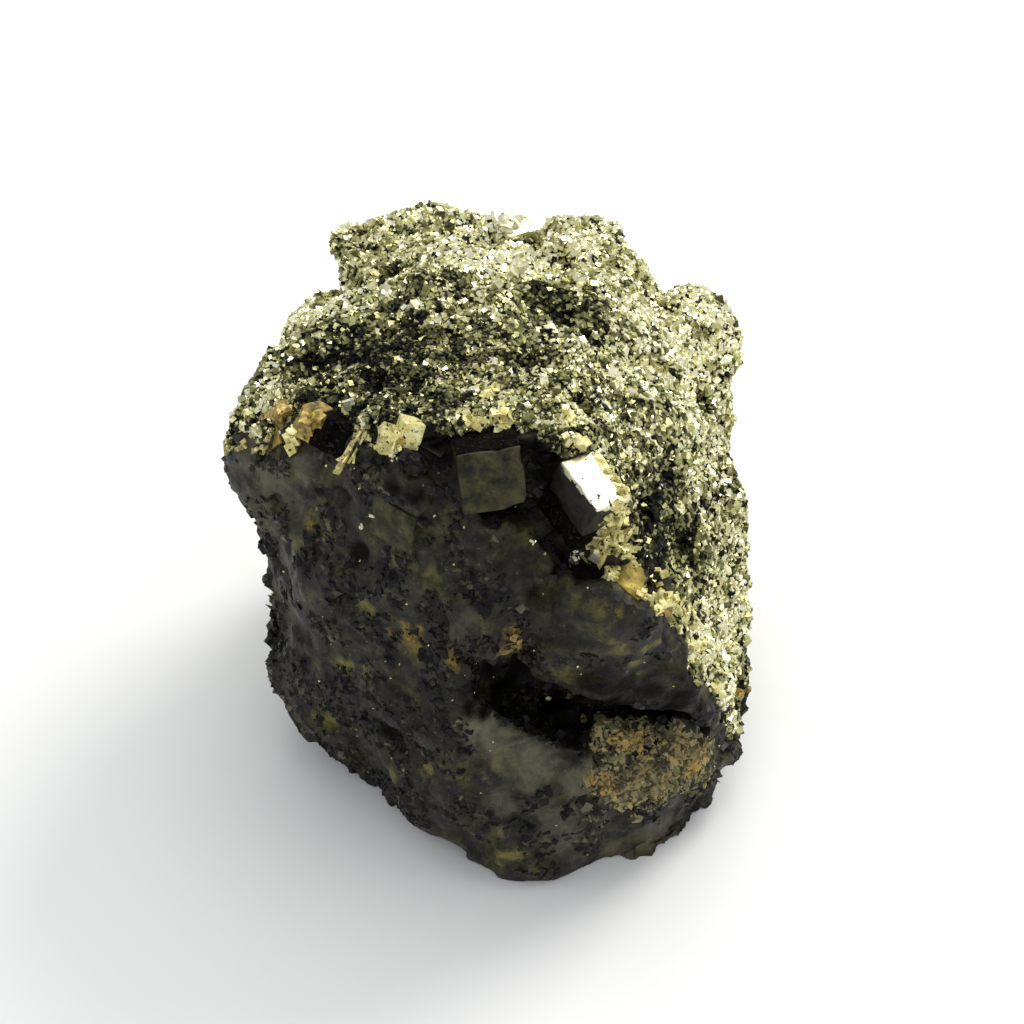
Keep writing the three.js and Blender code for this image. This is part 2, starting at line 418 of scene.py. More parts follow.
@dataclass(frozen=True)
class FractureFinish:
    """Tarnished pyrite on a broken face, coal-black iron oxide over metal, with olive and ochre patches.

    It reads as nearly black with a faint sheen, and warm only where the tarnish has worn through or
    turned to limonite. Its pale grey flecks are painted light, and its black flecks and the black under
    the crust are painted shade.
    """

    pore: str = "#0a0908"
    # A near-black tone of the tarnish, laid at random by the mottle
    soot: str = "#171511"
    worn: str = "#2d291d"
    scuffed: str = "#4c4632"
    speck: str = "#6f6954"
    # Painted light: the pale grey of the ledge's lit top and other lightened parts of the front
    painted_light: str = "#6b6654"
    olive: str = "#736d34"
    ochre: str = "#8a722e"
    # Painted shade: near-black under the crust, between its grains, and in the black flecks
    painted_shade_colour: str = "#0b0a08"
    mottle_mm: float = 1.0
    grit_mm: float = 0.32
    veil_mm: float = 2.6
    facet_share: float = 0.16
    veil_share: float = 0.35
    grain_share: float = 0.7

    def material(self) -> bpy.types.Material:
        """Builds the material.

        Returns:
            The finish of the lump's body.
        """
        made, tree, shader = start_material("tarnished_pyrite_fracture")
        where = add_node(tree, "ShaderNodeTexCoord").outputs["Object"]
        mottle, grit, veil = (
            add_node(
                tree, "ShaderNodeTexNoise",
                inputs={"Vector": where, "Scale": 1 / (size * MM), "Detail": detail, "Roughness": 0.7},
            ).outputs["Fac"]
            for size, detail in ((self.mottle_mm, 8.0), (self.grit_mm, 4.0), (self.veil_mm, 5.0))
        )
        colour = self.tarnish(tree, mottle, grit, veil)
        colour = self.flecked(tree, colour, mottle, grit)
        cap = add_node(tree, "ShaderNodeAttribute", {"attribute_name": "cap"})
        # Painted shade: under the crust the body is near-black, so that it shows dark between the grains
        tree.links.new(self.stain(tree, colour, cap.outputs["Fac"], self.painted_shade_colour), shader.inputs["Base Color"])
        gloss = add_node(
            tree, "ShaderNodeMapRange",
            inputs={"Value": mottle, "From Min": 0.3, "From Max": 0.7, "To Min": 0.62, "To Max": 0.4},
        )
        tree.links.new(gloss.outputs[0], shader.inputs["Roughness"])
        # Painted shade also takes away the sheen where it lies
        painted_shade_amount = add_node(tree, "ShaderNodeAttribute", {"attribute_name": Fleck.SOOT.value})
        sheen = add_node(
            tree, "ShaderNodeMapRange",
            inputs={"Value": painted_shade_amount.outputs["Fac"], "To Min": 0.25, "To Max": 0.03},
        )
        tree.links.new(sheen.outputs[0], shader.inputs["Specular IOR Level"])
        bump = add_node(
            tree, "ShaderNodeBump",
            inputs={"Height": grit, "Strength": 0.7, "Distance": self.grit_mm * MM * 0.5},
        )
        tree.links.new(bump.outputs[0], shader.inputs["Normal"])
        return made

    def tarnish(
        self, tree: bpy.types.NodeTree, mottle: bpy.types.NodeSocket, grit: bpy.types.NodeSocket,
        veil: bpy.types.NodeSocket,
    ) -> bpy.types.NodeSocket:
        """Colours the tarnish, from near-black to scuffed metal by facet, with olive veils, pores and pale
        specks.

        Args:
            tree: The material's node tree.
            mottle: The pattern of the patches.
            grit: The pattern of the pores and specks.
            veil: The pattern of the olive veils.

        Returns:
            The tarnish's colour.
        """
        tone = add_node(tree, "ShaderNodeAttribute", {"attribute_name": "tone"})
        patchy = add_node(
            tree, "ShaderNodeMath", {"operation": "MULTIPLY_ADD"},
            {0: tone.outputs["Fac"], 1: self.facet_share, 2: mottle},
        )
        ground = add_node(
            tree, "ShaderNodeValToRGB", inputs={"Fac": patchy.outputs[0]},
            stops=[(0.4, self.pore), (0.5, self.soot), (0.66, self.worn), (0.82, self.scuffed)],
        )
        colour = ground.outputs["Color"]
        layers = (
            (veil, self.olive, 0.53, 0.69, self.veil_share),
            (grit, self.pore, 0.4, 0.34, self.grain_share),
            (grit, self.speck, 0.62, 0.7, self.grain_share),
        )
        for pattern, code, low, high, share in layers:
            amount = add_node(
                tree, "ShaderNodeMapRange",
                inputs={"Value": pattern, "From Min": low, "From Max": high, "To Min": 0.0, "To Max": share},
            )
            colour = self.stain(tree, colour, amount.outputs[0], code)
        return colour

    def flecked(
        self, tree: bpy.types.NodeTree, colour: bpy.types.NodeSocket, mottle: bpy.types.NodeSocket,
        grit: bpy.types.NodeSocket,
    ) -> bpy.types.NodeSocket:
        """Lays the placed stains, the painted light and the painted shade over the tarnish, each broken up by
        a pattern or, for the painted shade, whole.

        Args:
            tree: The material's node tree.
            colour: The tarnish's colour.
            mottle: The pattern that breaks up the painted light and the olive.
            grit: The pattern that breaks up ochre.

        Returns:
            The stained colour.
        """
        # Olive and ochre are stains; the pale grey is painted light and the black is painted shade
        stains = (
            (Fleck.PAINTED_LIGHT, self.painted_light, mottle, 0.55), (Fleck.OLIVE, self.olive, mottle, 0.15),
            (Fleck.OCHRE, self.ochre, grit, 0.15), (Fleck.SOOT, self.painted_shade_colour, None, 1.0),
        )
        for fleck, code, pattern, least in stains:
            amount = add_node(tree, "ShaderNodeAttribute", {"attribute_name": fleck.value}).outputs["Fac"]
            if pattern:
                broken = add_node(
                    tree, "ShaderNodeMapRange", inputs={
                        "Value": pattern, "From Min": 0.4, "From Max": 0.58, "To Min": least, "To Max": 1.0,
                    },
                )
                amount = add_node(
                    tree, "ShaderNodeMath", {"operation": "MULTIPLY", "use_clamp": True},
                    {0: amount, 1: broken.outputs[0]},
                ).outputs[0]
            colour = self.stain(tree, colour, amount, code)
        return colour

    @staticmethod
    def stain(
        tree: bpy.types.NodeTree, colour: bpy.types.NodeSocket, amount: bpy.types.NodeSocket, code: str,
    ) -> bpy.types.NodeSocket:
        """Lays a stain over a colour.

        Args:
            tree: The material's node tree.
            colour: What lies beneath.
            amount: How much of the stain shows.
            code: The stain's colour as #rrggbb.

        Returns:
            The mixed colour.
        """
        mixed = add_node(
            tree, "ShaderNodeMix", {"data_type": "RGBA"}, {0: amount, 6: colour, 7: linear(code)},
        )
        return mixed.outputs[2]


@dataclass(frozen=True)
class GrainFinish:
    """Granular pyrite: small bare metal crystals, pale brass where fresh and olive to black where tarnished.

    Each grain has its own tone, so the crust sparkles between bright facets and dark ones.
    """

    name: str = "granular_pyrite"
    black: str = "#141410"
    olive: str = "#828254"
    brass: str = "#d0cc94"
    fresh: str = "#fbf8d4"
    metallic: float = 0.9
    roughness: float = 0.3
    specular: float = 0.5
    mottle_mm: float = 0.5
    mottling: float = 0.16

    def material(self) -> bpy.types.Material:
        """Builds the material.

        Returns:
            The finish of the crust's grains.
        """
        made, tree, shader = start_material(self.name)
        where = add_node(tree, "ShaderNodeTexCoord").outputs["Object"]
        tone = add_node(tree, "ShaderNodeAttribute", {"attribute_name": "tone"})
        mottle = add_node(
            tree, "ShaderNodeTexNoise",
            inputs={"Vector": where, "Scale": 1 / (self.mottle_mm * MM), "Detail": 3.0},
        )
        shifted = add_node(
            tree, "ShaderNodeMapRange", inputs={
                "Value": mottle.outputs["Fac"], "From Min": 0.25, "From Max": 0.75,
                "To Min": -self.mottling, "To Max": self.mottling,
            },
        )
        mixed = add_node(
            tree, "ShaderNodeMath", {"operation": "ADD", "use_clamp": True},
            {0: tone.outputs["Fac"], 1: shifted.outputs[0]},
        )
        ramp = add_node(
            tree, "ShaderNodeValToRGB", inputs={"Fac": mixed.outputs[0]},
            stops=[(0.1, self.black), (0.4, self.olive), (0.65, self.brass), (0.9, self.fresh)],
        )
        tree.links.new(ramp.outputs["Color"], shader.inputs["Base Color"])
        shader.inputs["Metallic"].default_value = self.metallic
        shader.inputs["Specular IOR Level"].default_value = self.specular
        gloss = add_node(
            tree, "ShaderNodeMapRange", inputs={
                "Value": mixed.outputs[0], "To Min": self.roughness + 0.25, "To Max": self.roughness - 0.05,
            },
        )
        tree.links.new(gloss.outputs[0], shader.inputs["Roughness"])
        return made


# Grains that have rusted to limonite: dull olive to ochre, with no flash of metal
RUSTY_GRAINS = GrainFinish(
    name="rusty_granular_pyrite", black="#45412f", olive="#757150", brass="#938b62", fresh="#ac9050",
    metallic=0.0, roughness=0.6, specular=0.3,
)

# Grains under a coat of soot: nearly black, with a grey glint on the odd facet
SOOTY_GRAINS = GrainFinish(
    name="sooty_granular_pyrite", black="#090807", olive="#1d1b15", brass="#38342a", fresh="#6b654f",
    metallic=0.0, roughness=0.45, specular=0.3,
)


@dataclass(frozen=True)
class CrystalFinish:
    """A single pyrite crystal's smooth growth faces, metal with a film of tarnish and fine pits."""

    name: str
    low: str
    high: str
    metallic: float
    roughness: float
    mottle_mm: float = 0.55
    pit_mm: float = 0.22
    pit: str = "#2b271d"
    pitting: float = 0.6
    specular: float = 0.5

    def material(self) -> bpy.types.Material:
        """Builds the material.

        Returns:
            The finish of one group of crystals.
        """
        made, tree, shader = start_material(self.name)
        where = add_node(tree, "ShaderNodeTexCoord").outputs["Object"]
        film = add_node(
            tree, "ShaderNodeTexNoise",
            inputs={"Vector": where, "Scale": 1 / (self.mottle_mm * MM), "Detail": 5.0, "Roughness": 0.6},
        )
        pits = add_node(
            tree, "ShaderNodeTexNoise",
            inputs={"Vector": where, "Scale": 1 / (self.pit_mm * MM), "Detail": 2.0},
        )
        ramp = add_node(
            tree, "ShaderNodeValToRGB", inputs={"Fac": film.outputs["Fac"]},
            stops=[(0.36, self.low), (0.62, self.high)],
        )
        pitted = add_node(
            tree, "ShaderNodeMapRange",
            inputs={"Value": pits.outputs["Fac"], "From Min": self.pitting, "From Max": self.pitting + 0.06},
        )
        faced = add_node(
            tree, "ShaderNodeMix", {"data_type": "RGBA"},
            {0: pitted.outputs[0], 6: ramp.outputs["Color"], 7: linear(self.pit)},
        )
        tree.links.new(faced.outputs[2], shader.inputs["Base Color"])
        shader.inputs["Metallic"].default_value = self.metallic
        shader.inputs["Specular IOR Level"].default_value = self.specular
        gloss = add_node(
            tree, "ShaderNodeMapRange", inputs={
                "Value": film.outputs["Fac"], "From Min": 0.3, "From Max": 0.7,
                "To Min": self.roughness + 0.12, "To Max": self.roughness - 0.06,
            },
        )
        tree.links.new(gloss.outputs[0], shader.inputs["Roughness"])
        bump = add_node(
            tree, "ShaderNodeBump",
            inputs={"Height": pits.outputs["Fac"], "Strength": 0.25, "Distance": self.pit_mm * MM * 0.3},
        )
        tree.links.new(bump.outputs[0], shader.inputs["Normal"])
        return made


class Face(Enum):
    """Kinds of crystal face on the ridge, from clean metal to black, among them painted glints and painted
    shade.
    """

    # Clean metal that flashes white, with a few dark pits
    BRIGHT = CrystalFinish("bright_pyrite_face", "#cfcb9e", "#fffce2", 0.8, 0.36, pit_mm=0.4, pitting=0.62)
    # Painted glint: a pale cream, nearly matt, that shows bright from every side in place of the flash of
    # metal
    PAINTED_GLINT_CREAM = CrystalFinish("painted_glint_cream_face", "#ccc06c", "#fff8b8", 0.25, 0.4)
    # Pale brass, half bare metal, that varies from facet to facet
    BRASS = CrystalFinish("brass_pyrite_face", "#9a914f", "#f4eaa2", 0.35, 0.4)
    # A deeper yellow film, even and nearly without pits
    GOLD = CrystalFinish("gold_pyrite_face", "#70621f", "#a59136", 0.3, 0.5, pitting=0.68)
    # Limonite stain over brass, brown to yellow in patches
    OCHRE = CrystalFinish("ochre_stained_face", "#584a26", "#c6aa52", 0.3, 0.46)
    # Thick tarnish, dark with an olive bloom in broad patches
    OLIVE = CrystalFinish(
        "olive_tarnished_face", "#15130b", "#474223", 0.2, 0.5, mottle_mm=0.8, specular=0.3,
    )
    # Painted shade: a dull charcoal for the bright cube's shaded sides, under its bright top
    DARK = CrystalFinish("painted_shade_charcoal_face", "#12110d", "#2b2922", 0.1, 0.5, specular=0.25)
    # Painted shade: black with no sheen, for the olive cube's shaded top, the bright cube's lower part and
    # the crevice beside the ochre plate
    PAINTED_SHADE_BLACK = CrystalFinish("painted_shade_black_face", "#060504", "#100f0b", 0.0, 0.8, specular=0.03)


Finishes = dict[Face, bpy.types.Material]


# The body

@dataclass(frozen=True)
class Spot:
    """A mark, hollow or tuft at a pixel of the picture: its half size in millimetres and its strength."""

    pixel: Pixel
    radius: float
    strength: float = 1.0

    def away(self, points: np.ndarray, tree: BVHTree) -> np.ndarray:
        """Finds how far points are from the spot's place on a surface, in shares of its half size."""
        middle, _ = VIEW.hit(self.pixel, tree)
        return np.linalg.norm(points - np.array(middle), axis=1) / (self.radius * MM)

    def hump(self, points: np.ndarray, tree: BVHTree, wander: np.ndarray) -> np.ndarray:
        """Rises to the spot's strength at its middle, over distances that wander stretches unevenly."""
        return self.strength * np.exp(-((self.away(points, tree) * wander) ** 2))


def spots(*rows: tuple[float, ...]) -> tuple[Spot, ...]:
    """Makes spots from rows of column, row, half size and, where it isn't 1, strength."""
    return tuple(Spot(row[:2], *row[2:]) for row in rows)


# Stains of the broken front, with its painted light and painted shade
FLECKS: dict[Fleck, tuple[Spot, ...]] = {
    # Painted light: pale grey on the ledge's up-facing top and on other parts of the front
    Fleck.PAINTED_LIGHT: spots(
        (490, 737, 1.6), (530, 762, 2.2), (575, 782, 1.7), (475, 728, 0.9), (590, 768, 1.0),
        (470, 615, 0.8, 0.35), (460, 632, 0.7, 0.35), (560, 820, 1.8, 0.55), (500, 800, 1.2, 0.6),
        (265, 442, 1.2, 0.8), (300, 470, 1.4, 0.6), (270, 455, 0.9, 0.8), (270, 480, 1.6, 0.7),
        (650, 830, 1.6, 0.55), (295, 500, 1.4, 0.5), (265, 520, 1.3, 0.5), (618, 584, 0.3), (630, 595, 0.3),
        (642, 606, 0.3), (654, 619, 0.3), (666, 632, 0.3), (678, 645, 0.3), (688, 660, 0.3),
        (696, 676, 0.3), (702, 692, 0.3), (707, 708, 0.3), (245, 465, 1.2, 0.6), (255, 500, 1.2, 0.5),
        (500, 812, 0.7, 0.5), (560, 845, 1.6, 0.55), (620, 850, 1.6, 0.55),
    ),
    Fleck.OLIVE: spots(
        (317, 517, 0.8), (332, 536, 0.7), (363, 608, 0.9), (347, 665, 1.1), (365, 672, 0.7),
        (400, 562, 0.8, 0.7), (430, 575, 0.9, 0.7), (300, 545, 0.8, 0.5), (317, 663, 0.5), (329, 721, 0.8),
        (424, 769, 0.7), (390, 774, 0.7), (569, 674, 1.0, 0.6), (575, 602, 0.6, 0.6), (590, 608, 0.5, 0.6),
        (605, 612, 0.5, 0.7), (600, 632, 0.6, 0.7), (612, 640, 0.6, 0.8), (622, 652, 0.7, 0.9),
        (634, 662, 0.6, 0.9), (641, 672, 0.4, 0.8), (646, 650, 0.5, 0.8), (658, 643, 0.5, 0.9),
        (295, 479, 0.8, 0.6), (322, 530, 0.7, 0.8), (409, 645, 0.9, 0.6), (516, 855, 1.0),
        (430, 580, 0.8, 0.5), (505, 765, 0.9, 0.5), (640, 775, 2.0, 0.8), (690, 755, 1.7, 0.8),
        (620, 740, 1.2, 0.6),
    ),
    Fleck.OCHRE: spots(
        (312, 527, 0.5), (411, 638, 0.9), (405, 625, 0.5), (452, 661, 0.8, 0.8), (516, 632, 0.7),
        (517, 645, 0.6), (505, 654, 0.6), (644, 746, 0.6), (617, 732, 0.6, 0.6), (697, 767, 0.6, 0.8),
        (603, 787, 0.6, 0.8), (664, 790, 0.6, 0.7), (680, 742, 0.5, 0.6), (620, 615, 0.4, 0.7),
    ),
    # Painted shade: black in the recess under the slab, in the gaps along the ridge and, fainter, on shaded
    # faces
    Fleck.SOOT: spots(
        (500, 685, 1.4), (550, 700, 1.6), (610, 702, 1.4), (670, 708, 1.1), (492, 668, 1.0, 0.8),
        (520, 668, 1.2, 0.8), (600, 684, 1.2, 0.8), (640, 690, 1.2, 0.8), (680, 705, 0.9, 0.8),
        (540, 728, 1.2, 0.9), (505, 712, 1.1, 0.9), (575, 735, 1.1, 0.9), (512, 436, 1.0), (488, 440, 1.0),
        (462, 443, 1.0), (440, 446, 1.0), (415, 460, 1.1), (537, 447, 1.1), (545, 472, 1.3),
        (552, 498, 1.4), (562, 526, 1.2), (583, 575, 0.7, 0.8), (376, 528, 0.6, 0.8), (359, 552, 0.7, 0.8),
        (388, 732, 0.9, 0.8), (535, 595, 0.6, 0.7), (385, 700, 2.4, 0.4), (300, 640, 1.8, 0.3),
        (420, 720, 2.0, 0.35), (605, 675, 1.5, 0.5), (655, 688, 1.4, 0.5), (560, 642, 1.1, 0.4),
        (585, 590, 1.0, 0.35), (690, 684, 1.2, 0.4), (655, 615, 0.7, 0.4), (474, 692, 0.8), (470, 704, 0.6),
        (484, 712, 0.7), (620, 690, 1.0, 0.6), (655, 712, 0.5), (675, 716, 0.5), (692, 720, 0.5),
        (704, 724, 0.4), (520, 550, 2.2, 0.3), (592, 684, 1.4, 0.85), (620, 686, 1.5, 0.85),
        (650, 691, 1.5, 0.85), (678, 697, 1.4, 0.85), (700, 706, 1.0, 0.8), (682, 672, 1.3, 0.55),
        (662, 666, 1.0, 0.4), (548, 600, 1.5, 0.4), (555, 635, 1.6, 0.45), (345, 490, 0.8, 0.5),
        (365, 497, 0.9, 0.6), (395, 492, 0.8, 0.9), (410, 498, 0.8, 0.9),
    ),
}

# Where rusty grains cover the ledge
RUST: tuple[Spot, ...] = spots(
    (612, 740, 1.6), (640, 744, 1.7), (675, 750, 1.7), (702, 756, 1.4), (615, 768, 1.6), (645, 775, 1.8),
    (678, 772, 1.7), (702, 778, 1.2), (628, 795, 1.2), (655, 798, 1.2),
)

# Dark valleys in the crust, and gaps beside the larger crystals: strength is the depth in millimetres
VALLEYS: tuple[Spot, ...] = spots(
    (534, 292, 0.9, 1.0), (557, 308, 1.2, 1.1), (595, 333, 1.1, 1.1), (521, 356, 0.9, 0.9),
    (540, 366, 0.8, 0.9), (467, 298, 0.9, 0.7), (413, 327, 1.0, 0.9), (343, 340, 0.9, 0.8),
    (387, 324, 0.8, 0.8), (371, 378, 0.9, 0.9), (410, 381, 0.9, 0.9), (305, 362, 0.9, 0.8),
    (330, 378, 0.9, 0.8), (703, 400, 1.0, 0.9), (636, 352, 0.8, 0.7), (601, 356, 0.8, 0.8),
    (455, 372, 0.8, 0.7), (655, 510, 1.0, 1.0), (690, 545, 0.9, 0.8), (672, 470, 0.8, 0.7),
    (640, 430, 0.7, 0.6), (548, 468, 0.9, 1.2), (553, 495, 0.9, 1.2), (563, 525, 0.9, 1.0),
    (537, 447, 0.7, 0.8), (512, 438, 0.6, 0.7), (488, 441, 0.6, 0.7), (462, 444, 0.6, 0.7),
    (440, 447, 0.6, 0.7), (415, 460, 0.9, 1.0), (376, 528, 0.4, 0.5), (359, 552, 0.5, 0.5),
    (382, 727, 0.6, 0.5), (397, 738, 0.6, 0.5), (535, 595, 0.5, 0.4), (583, 575, 0.5, 0.6),
    (345, 497, 0.5, 0.4), (425, 492, 0.5, 0.4),
)


@dataclass(frozen=True)
class Plate:
    """A raised or sunk plate of the broken front.

    Its outline and the width of its edge are in the picture's pixels, and its height is in millimetres. One
    that wraps goes on round the side of the lump, past what the picture shows.
    """

    outline: tuple[Pixel, ...]
    height: float
    edge: float = 3.0
    wraps: bool = False

    def share(self, pixels: np.ndarray) -> np.ndarray:
        """Finds how much of the plate's height shows at each pixel.

        Args:
            pixels: Columns and rows, one pair a row.

        Returns:
            A share from 0 outside to 1 inside.
        """
        starts = np.array(self.outline, float)
        spans = np.roll(starts, -1, axis=0) - starts
        away = pixels[:, None] - starts
        part = np.clip((away * spans).sum(-1) / (spans**2).sum(-1), 0, 1)
        nearest = np.linalg.norm(away - part[..., None] * spans, axis=-1).min(1)
        crossed = (away[..., 1] < 0) != (away[..., 1] < spans[:, 1])
        turned = away[..., 0] * spans[:, 1] - away[..., 1] * spans[:, 0]
        inside = (crossed & (turned * np.sign(spans[:, 1]) < 0)).sum(1) % 2 == 1
        return smooth_step(np.where(inside, nearest, -nearest), -self.edge, self.edge)


# Plates that stand out of the broken front, and the hollows in it
PLATES: dict[str, Plate] = {
    "slab": Plate((
        (533, 600), (545, 587), (575, 580), (610, 580), (632, 596), (652, 618), (690, 660), (706, 700),
        (712, 722), (660, 706), (600, 694), (560, 686), (537, 662), (530, 628),
    ), height=0.8),
    "fan": Plate((
        (470, 520), (500, 506), (540, 516), (563, 556), (552, 588), (520, 600), (482, 576), (463, 546),
    ), height=0.3),
    "nodule": Plate((
        (454, 634), (460, 615), (478, 606), (500, 606), (518, 616), (524, 634), (512, 652), (488, 659),
        (465, 652),
    ), height=0.5, edge=9.0),
    "left_face": Plate((
        (262, 575), (330, 560), (430, 585), (452, 640), (466, 690), (464, 790), (446, 835), (395, 805),
        (320, 740), (270, 680),
    ), height=0.35),
    "brow": Plate((
        (225, 450), (300, 452), (345, 462), (420, 476), (436, 492), (400, 498), (345, 487), (300, 500),
        (240, 488),
    ), height=0.4),
    "ledge": Plate((
        (462, 711), (490, 714), (545, 740), (592, 750), (597, 796), (560, 802), (500, 772), (466, 746),
    ), height=0.3),
    "rusty_step": Plate((
        (594, 716), (712, 727), (735, 745), (715, 790), (650, 812), (598, 800),
    ), height=0.35),
    "recess": Plate((
        (478, 686), (540, 700), (594, 712), (592, 748), (545, 738), (490, 712),
    ), height=-0.8, edge=4.0),
    "left_hollow": Plate((
        (225, 520), (262, 515), (284, 545), (288, 640), (272, 660), (225, 650),
    ), height=-0.7, edge=12.0, wraps=True),
    "right_foot": Plate((
        (630, 900), (625, 850), (690, 795), (718, 765), (760, 770), (740, 850), (690, 890),
    ), height=-0.7, edge=12.0, wraps=True),
}

# Plates with an even face, which few grains stand on
EVEN_PLATES = ("slab", "fan", "nodule", "ledge")


@dataclass
class LumpBody:
    """The lump itself: the solid's form, broken into facets on the front and sunk under the crust elsewhere.

    Lengths are in millimetres and the crease is in degrees. A lean is the part of a direction that points to
    a side, from -1 to 1. The plates' ripples are in the picture's pixels.
    """

    voxel: float = 0.255
    smoothing: int = 3
    broadening: int = 60
    likeness: float = 0.2
    flattening: int = 8
    crease: float = 35.0
    crust_depth: float = 0.25
    crust_rise: float = 0.1
    crust_lumps: tuple[Swell, ...] = (Swell(0.3, 3.4, 7), Swell(0.25, 1.3, 8))
    crust_edge: float = 0.35
    edge_ripples: tuple[Swell, ...] = (Swell(0.7, 2.2, 3), Swell(0.4, 0.9, 4))
    lean_weight: float = 8.0
    back_lean: float = 0.12
    back_start: float = -2.0
    back_ripple: Swell = Swell(2.5, 5.0, 5)
    right_lean: float = 0.55
    right_start: float = 10.0
    right_front: float = -9.0
    foot: float = 3.0
    foot_slope: tuple[float, float] = (-2.0, 8.0)
    facet_sizes: tuple[float, float] = (2.4, 1.0)
    facet_steps: tuple[float, float] = (0.09, 0.04)
    facet_limits: tuple[float, float] = (0.18, 0.08)
    facet_neighbours: int = 6
    facet_lean: float = 0.06
    facet_stretch: tuple[float, float] = (0.6, 1.6)
    facet_pull: float = 0.4
    facet_mix: float = 0.4
    facet_facing: float = 0.5
    plate_ripples: tuple[Swell, Swell] = (Swell(4.0, 1.2, 14), Swell(4.0, 1.2, 15))
    wrap_lean: float = -0.5
    wrap_depth: float = 8.0
    valley_ripple: Swell = Swell(0.45, 1.1, 9)
    grit: Swell = Swell(0.03, 0.5, 10)
    clear: float = 0.3
    reach: float = 0.6
    inset: float = 0.15
    stain_ripples: tuple[Swell, ...] = (Swell(0.5, 0.9, 12), Swell(0.45, 0.4, 13))
    stain_edge: tuple[float, float] = (0.3, 1.15)
    soot_ripples: tuple[Swell, ...] = (Swell(1.0, 1.8, 16), Swell(0.6, 0.8, 17))
    soot_range: tuple[float, float] = (-0.2, 0.8)
    soot_foot: float = 0.6
    clear_of_stains: float = 0.7
    clear_of_plates: float = 0.75

    def build(self) -> bpy.types.Object:
        """Models the body from a copy of the solid.

        Returns:
            The body, with the attributes that its finish reads.
        """
        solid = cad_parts[NODE]
        body = bpy.data.objects.new("pyrite_body", solid.data.copy())
        bpy.context.scene.collection.objects.link(body)
        make_active(body)
        bpy.ops.object.mode_set(mode="EDIT")
        bpy.ops.mesh.select_all(action="SELECT")
        bpy.ops.mesh.remove_doubles(threshold=1e-6)
        bpy.ops.object.mode_set(mode="OBJECT")
        apply_modifier(body, "REMESH", mode="VOXEL", voxel_size=self.voxel * MM, adaptivity=0.0)
        apply_modifier(body, "SMOOTH", factor=0.5, iterations=self.smoothing)
        self.flatten(body)
        cap = self.cap_share(points_of(body), self.broad_normals(body))
        write_attribute(body, "cap", cap)
        self.raise_plates(body, cap)
        write_attribute(body, "tone", self.break_faces(body))
        self.sink(body, cap)
        self.tuck(body)
        self.mark(body)
        return body

    def flatten(self, body: bpy.types.Object) -> None:
        """Draws the surface into flat broken faces, by evening out directions that nearly agree."""
        corners = np.zeros(len(body.data.loops), np.int32)
        body.data.loops.foreach_get("vertex_index", corners)
        quads = corners.reshape(-1, 4)
        points = points_of(body)
        out = self.even_directions(points, quads)
        shared = np.bincount(corners, minlength=len(points))[:, None]
        for _ in range(self.flattening):
            away = points[quads].mean(1)[:, None] - points[quads]
            step = (out[:, None] * (away * out[:, None]).sum(-1, keepdims=True)).reshape(-1, 3)
            total = np.stack([np.bincount(corners, step[:, axis], len(points)) for axis in range(3)], 1)
            points += total / shared
        points[:, 2] = np.maximum(points[:, 2], 0)
        move_points(body, points)

    def even_directions(self, points: np.ndarray, quads: np.ndarray) -> np.ndarray:
        """Finds which way the faces look, each evened out with the neighbours that nearly agree with it.

        Args:
            points: The body's vertices, in metres.
            quads: The four vertex numbers of each face.

        Returns:
            A direction for each face.
        """
        pairs = np.sort(np.stack([quads, np.roll(quads, -1, axis=1)], -1).reshape(-1, 2), axis=1)
        keys = pairs[:, 0].astype(np.int64) * len(points) + pairs[:, 1]
        order = np.argsort(keys, kind="stable")
        joined = np.flatnonzero(np.diff(keys[order]) == 0)
        one, other = order[joined] // 4, order[joined + 1] // 4
        first, second, third, fourth = (points[quads[:, corner]] for corner in range(4))
        out = unit(np.cross(third - first, fourth - second))
        for _ in range(self.flattening):
            alike = np.exp(-((out[one] - out[other]) ** 2).sum(1) / (2 * self.likeness**2))
            total = out.copy()
            for axis in range(3):
                total[:, axis] += np.bincount(one, alike * out[other, axis], len(out))
                total[:, axis] += np.bincount(other, alike * out[one, axis], len(out))
            out = unit(total)
        return out

    def broad_normals(self, body: bpy.types.Object) -> np.ndarray:
        """Reads the body's directions with the small relief smoothed away."""
        smooth = body.copy()
        smooth.data = body.data.copy()
        bpy.context.scene.collection.objects.link(smooth)
        apply_modifier(smooth, "SMOOTH", factor=0.5, iterations=self.broadening)
        normals = normals_of(smooth)
        bpy.data.objects.remove(smooth)
        return normals

    def cap_share(self, points: np.ndarray, normals: np.ndarray) -> np.ndarray:
        """Finds where the granular crust lies.

        Args:
            points: The body's vertices, in metres.
            normals: The body's broad directions.

        Returns:
            A share from 0 on the broken faces to 1 under the crust.
        """
        columns, rows = np.array(RIDGE).T
        seen = VIEW.pixels_of(points)
        pixels_a_mm = VIEW.focal_pixels / VIEW.distance
        above = (np.interp(seen[:, 0], columns, rows) - seen[:, 1]) / pixels_a_mm
        across, along, up = (points / MM).T
        lean_right, lean_back = self.lean_weight * (normals[:, :2] - [self.right_lean, self.back_lean]).T
        faces_back = np.minimum(lean_back, along - self.back_start + self.back_ripple.at(points))
        faces_right = np.minimum(lean_right, np.minimum(across - self.right_start, along - self.right_front))
        side = np.maximum(np.maximum(above, faces_back), faces_right)
        side = np.minimum(side, up - self.foot - smooth_step(-along, *self.foot_slope))
        side += sum(ripple.at(points) for ripple in self.edge_ripples)
        return smooth_step(side, -self.crust_edge, self.crust_edge)

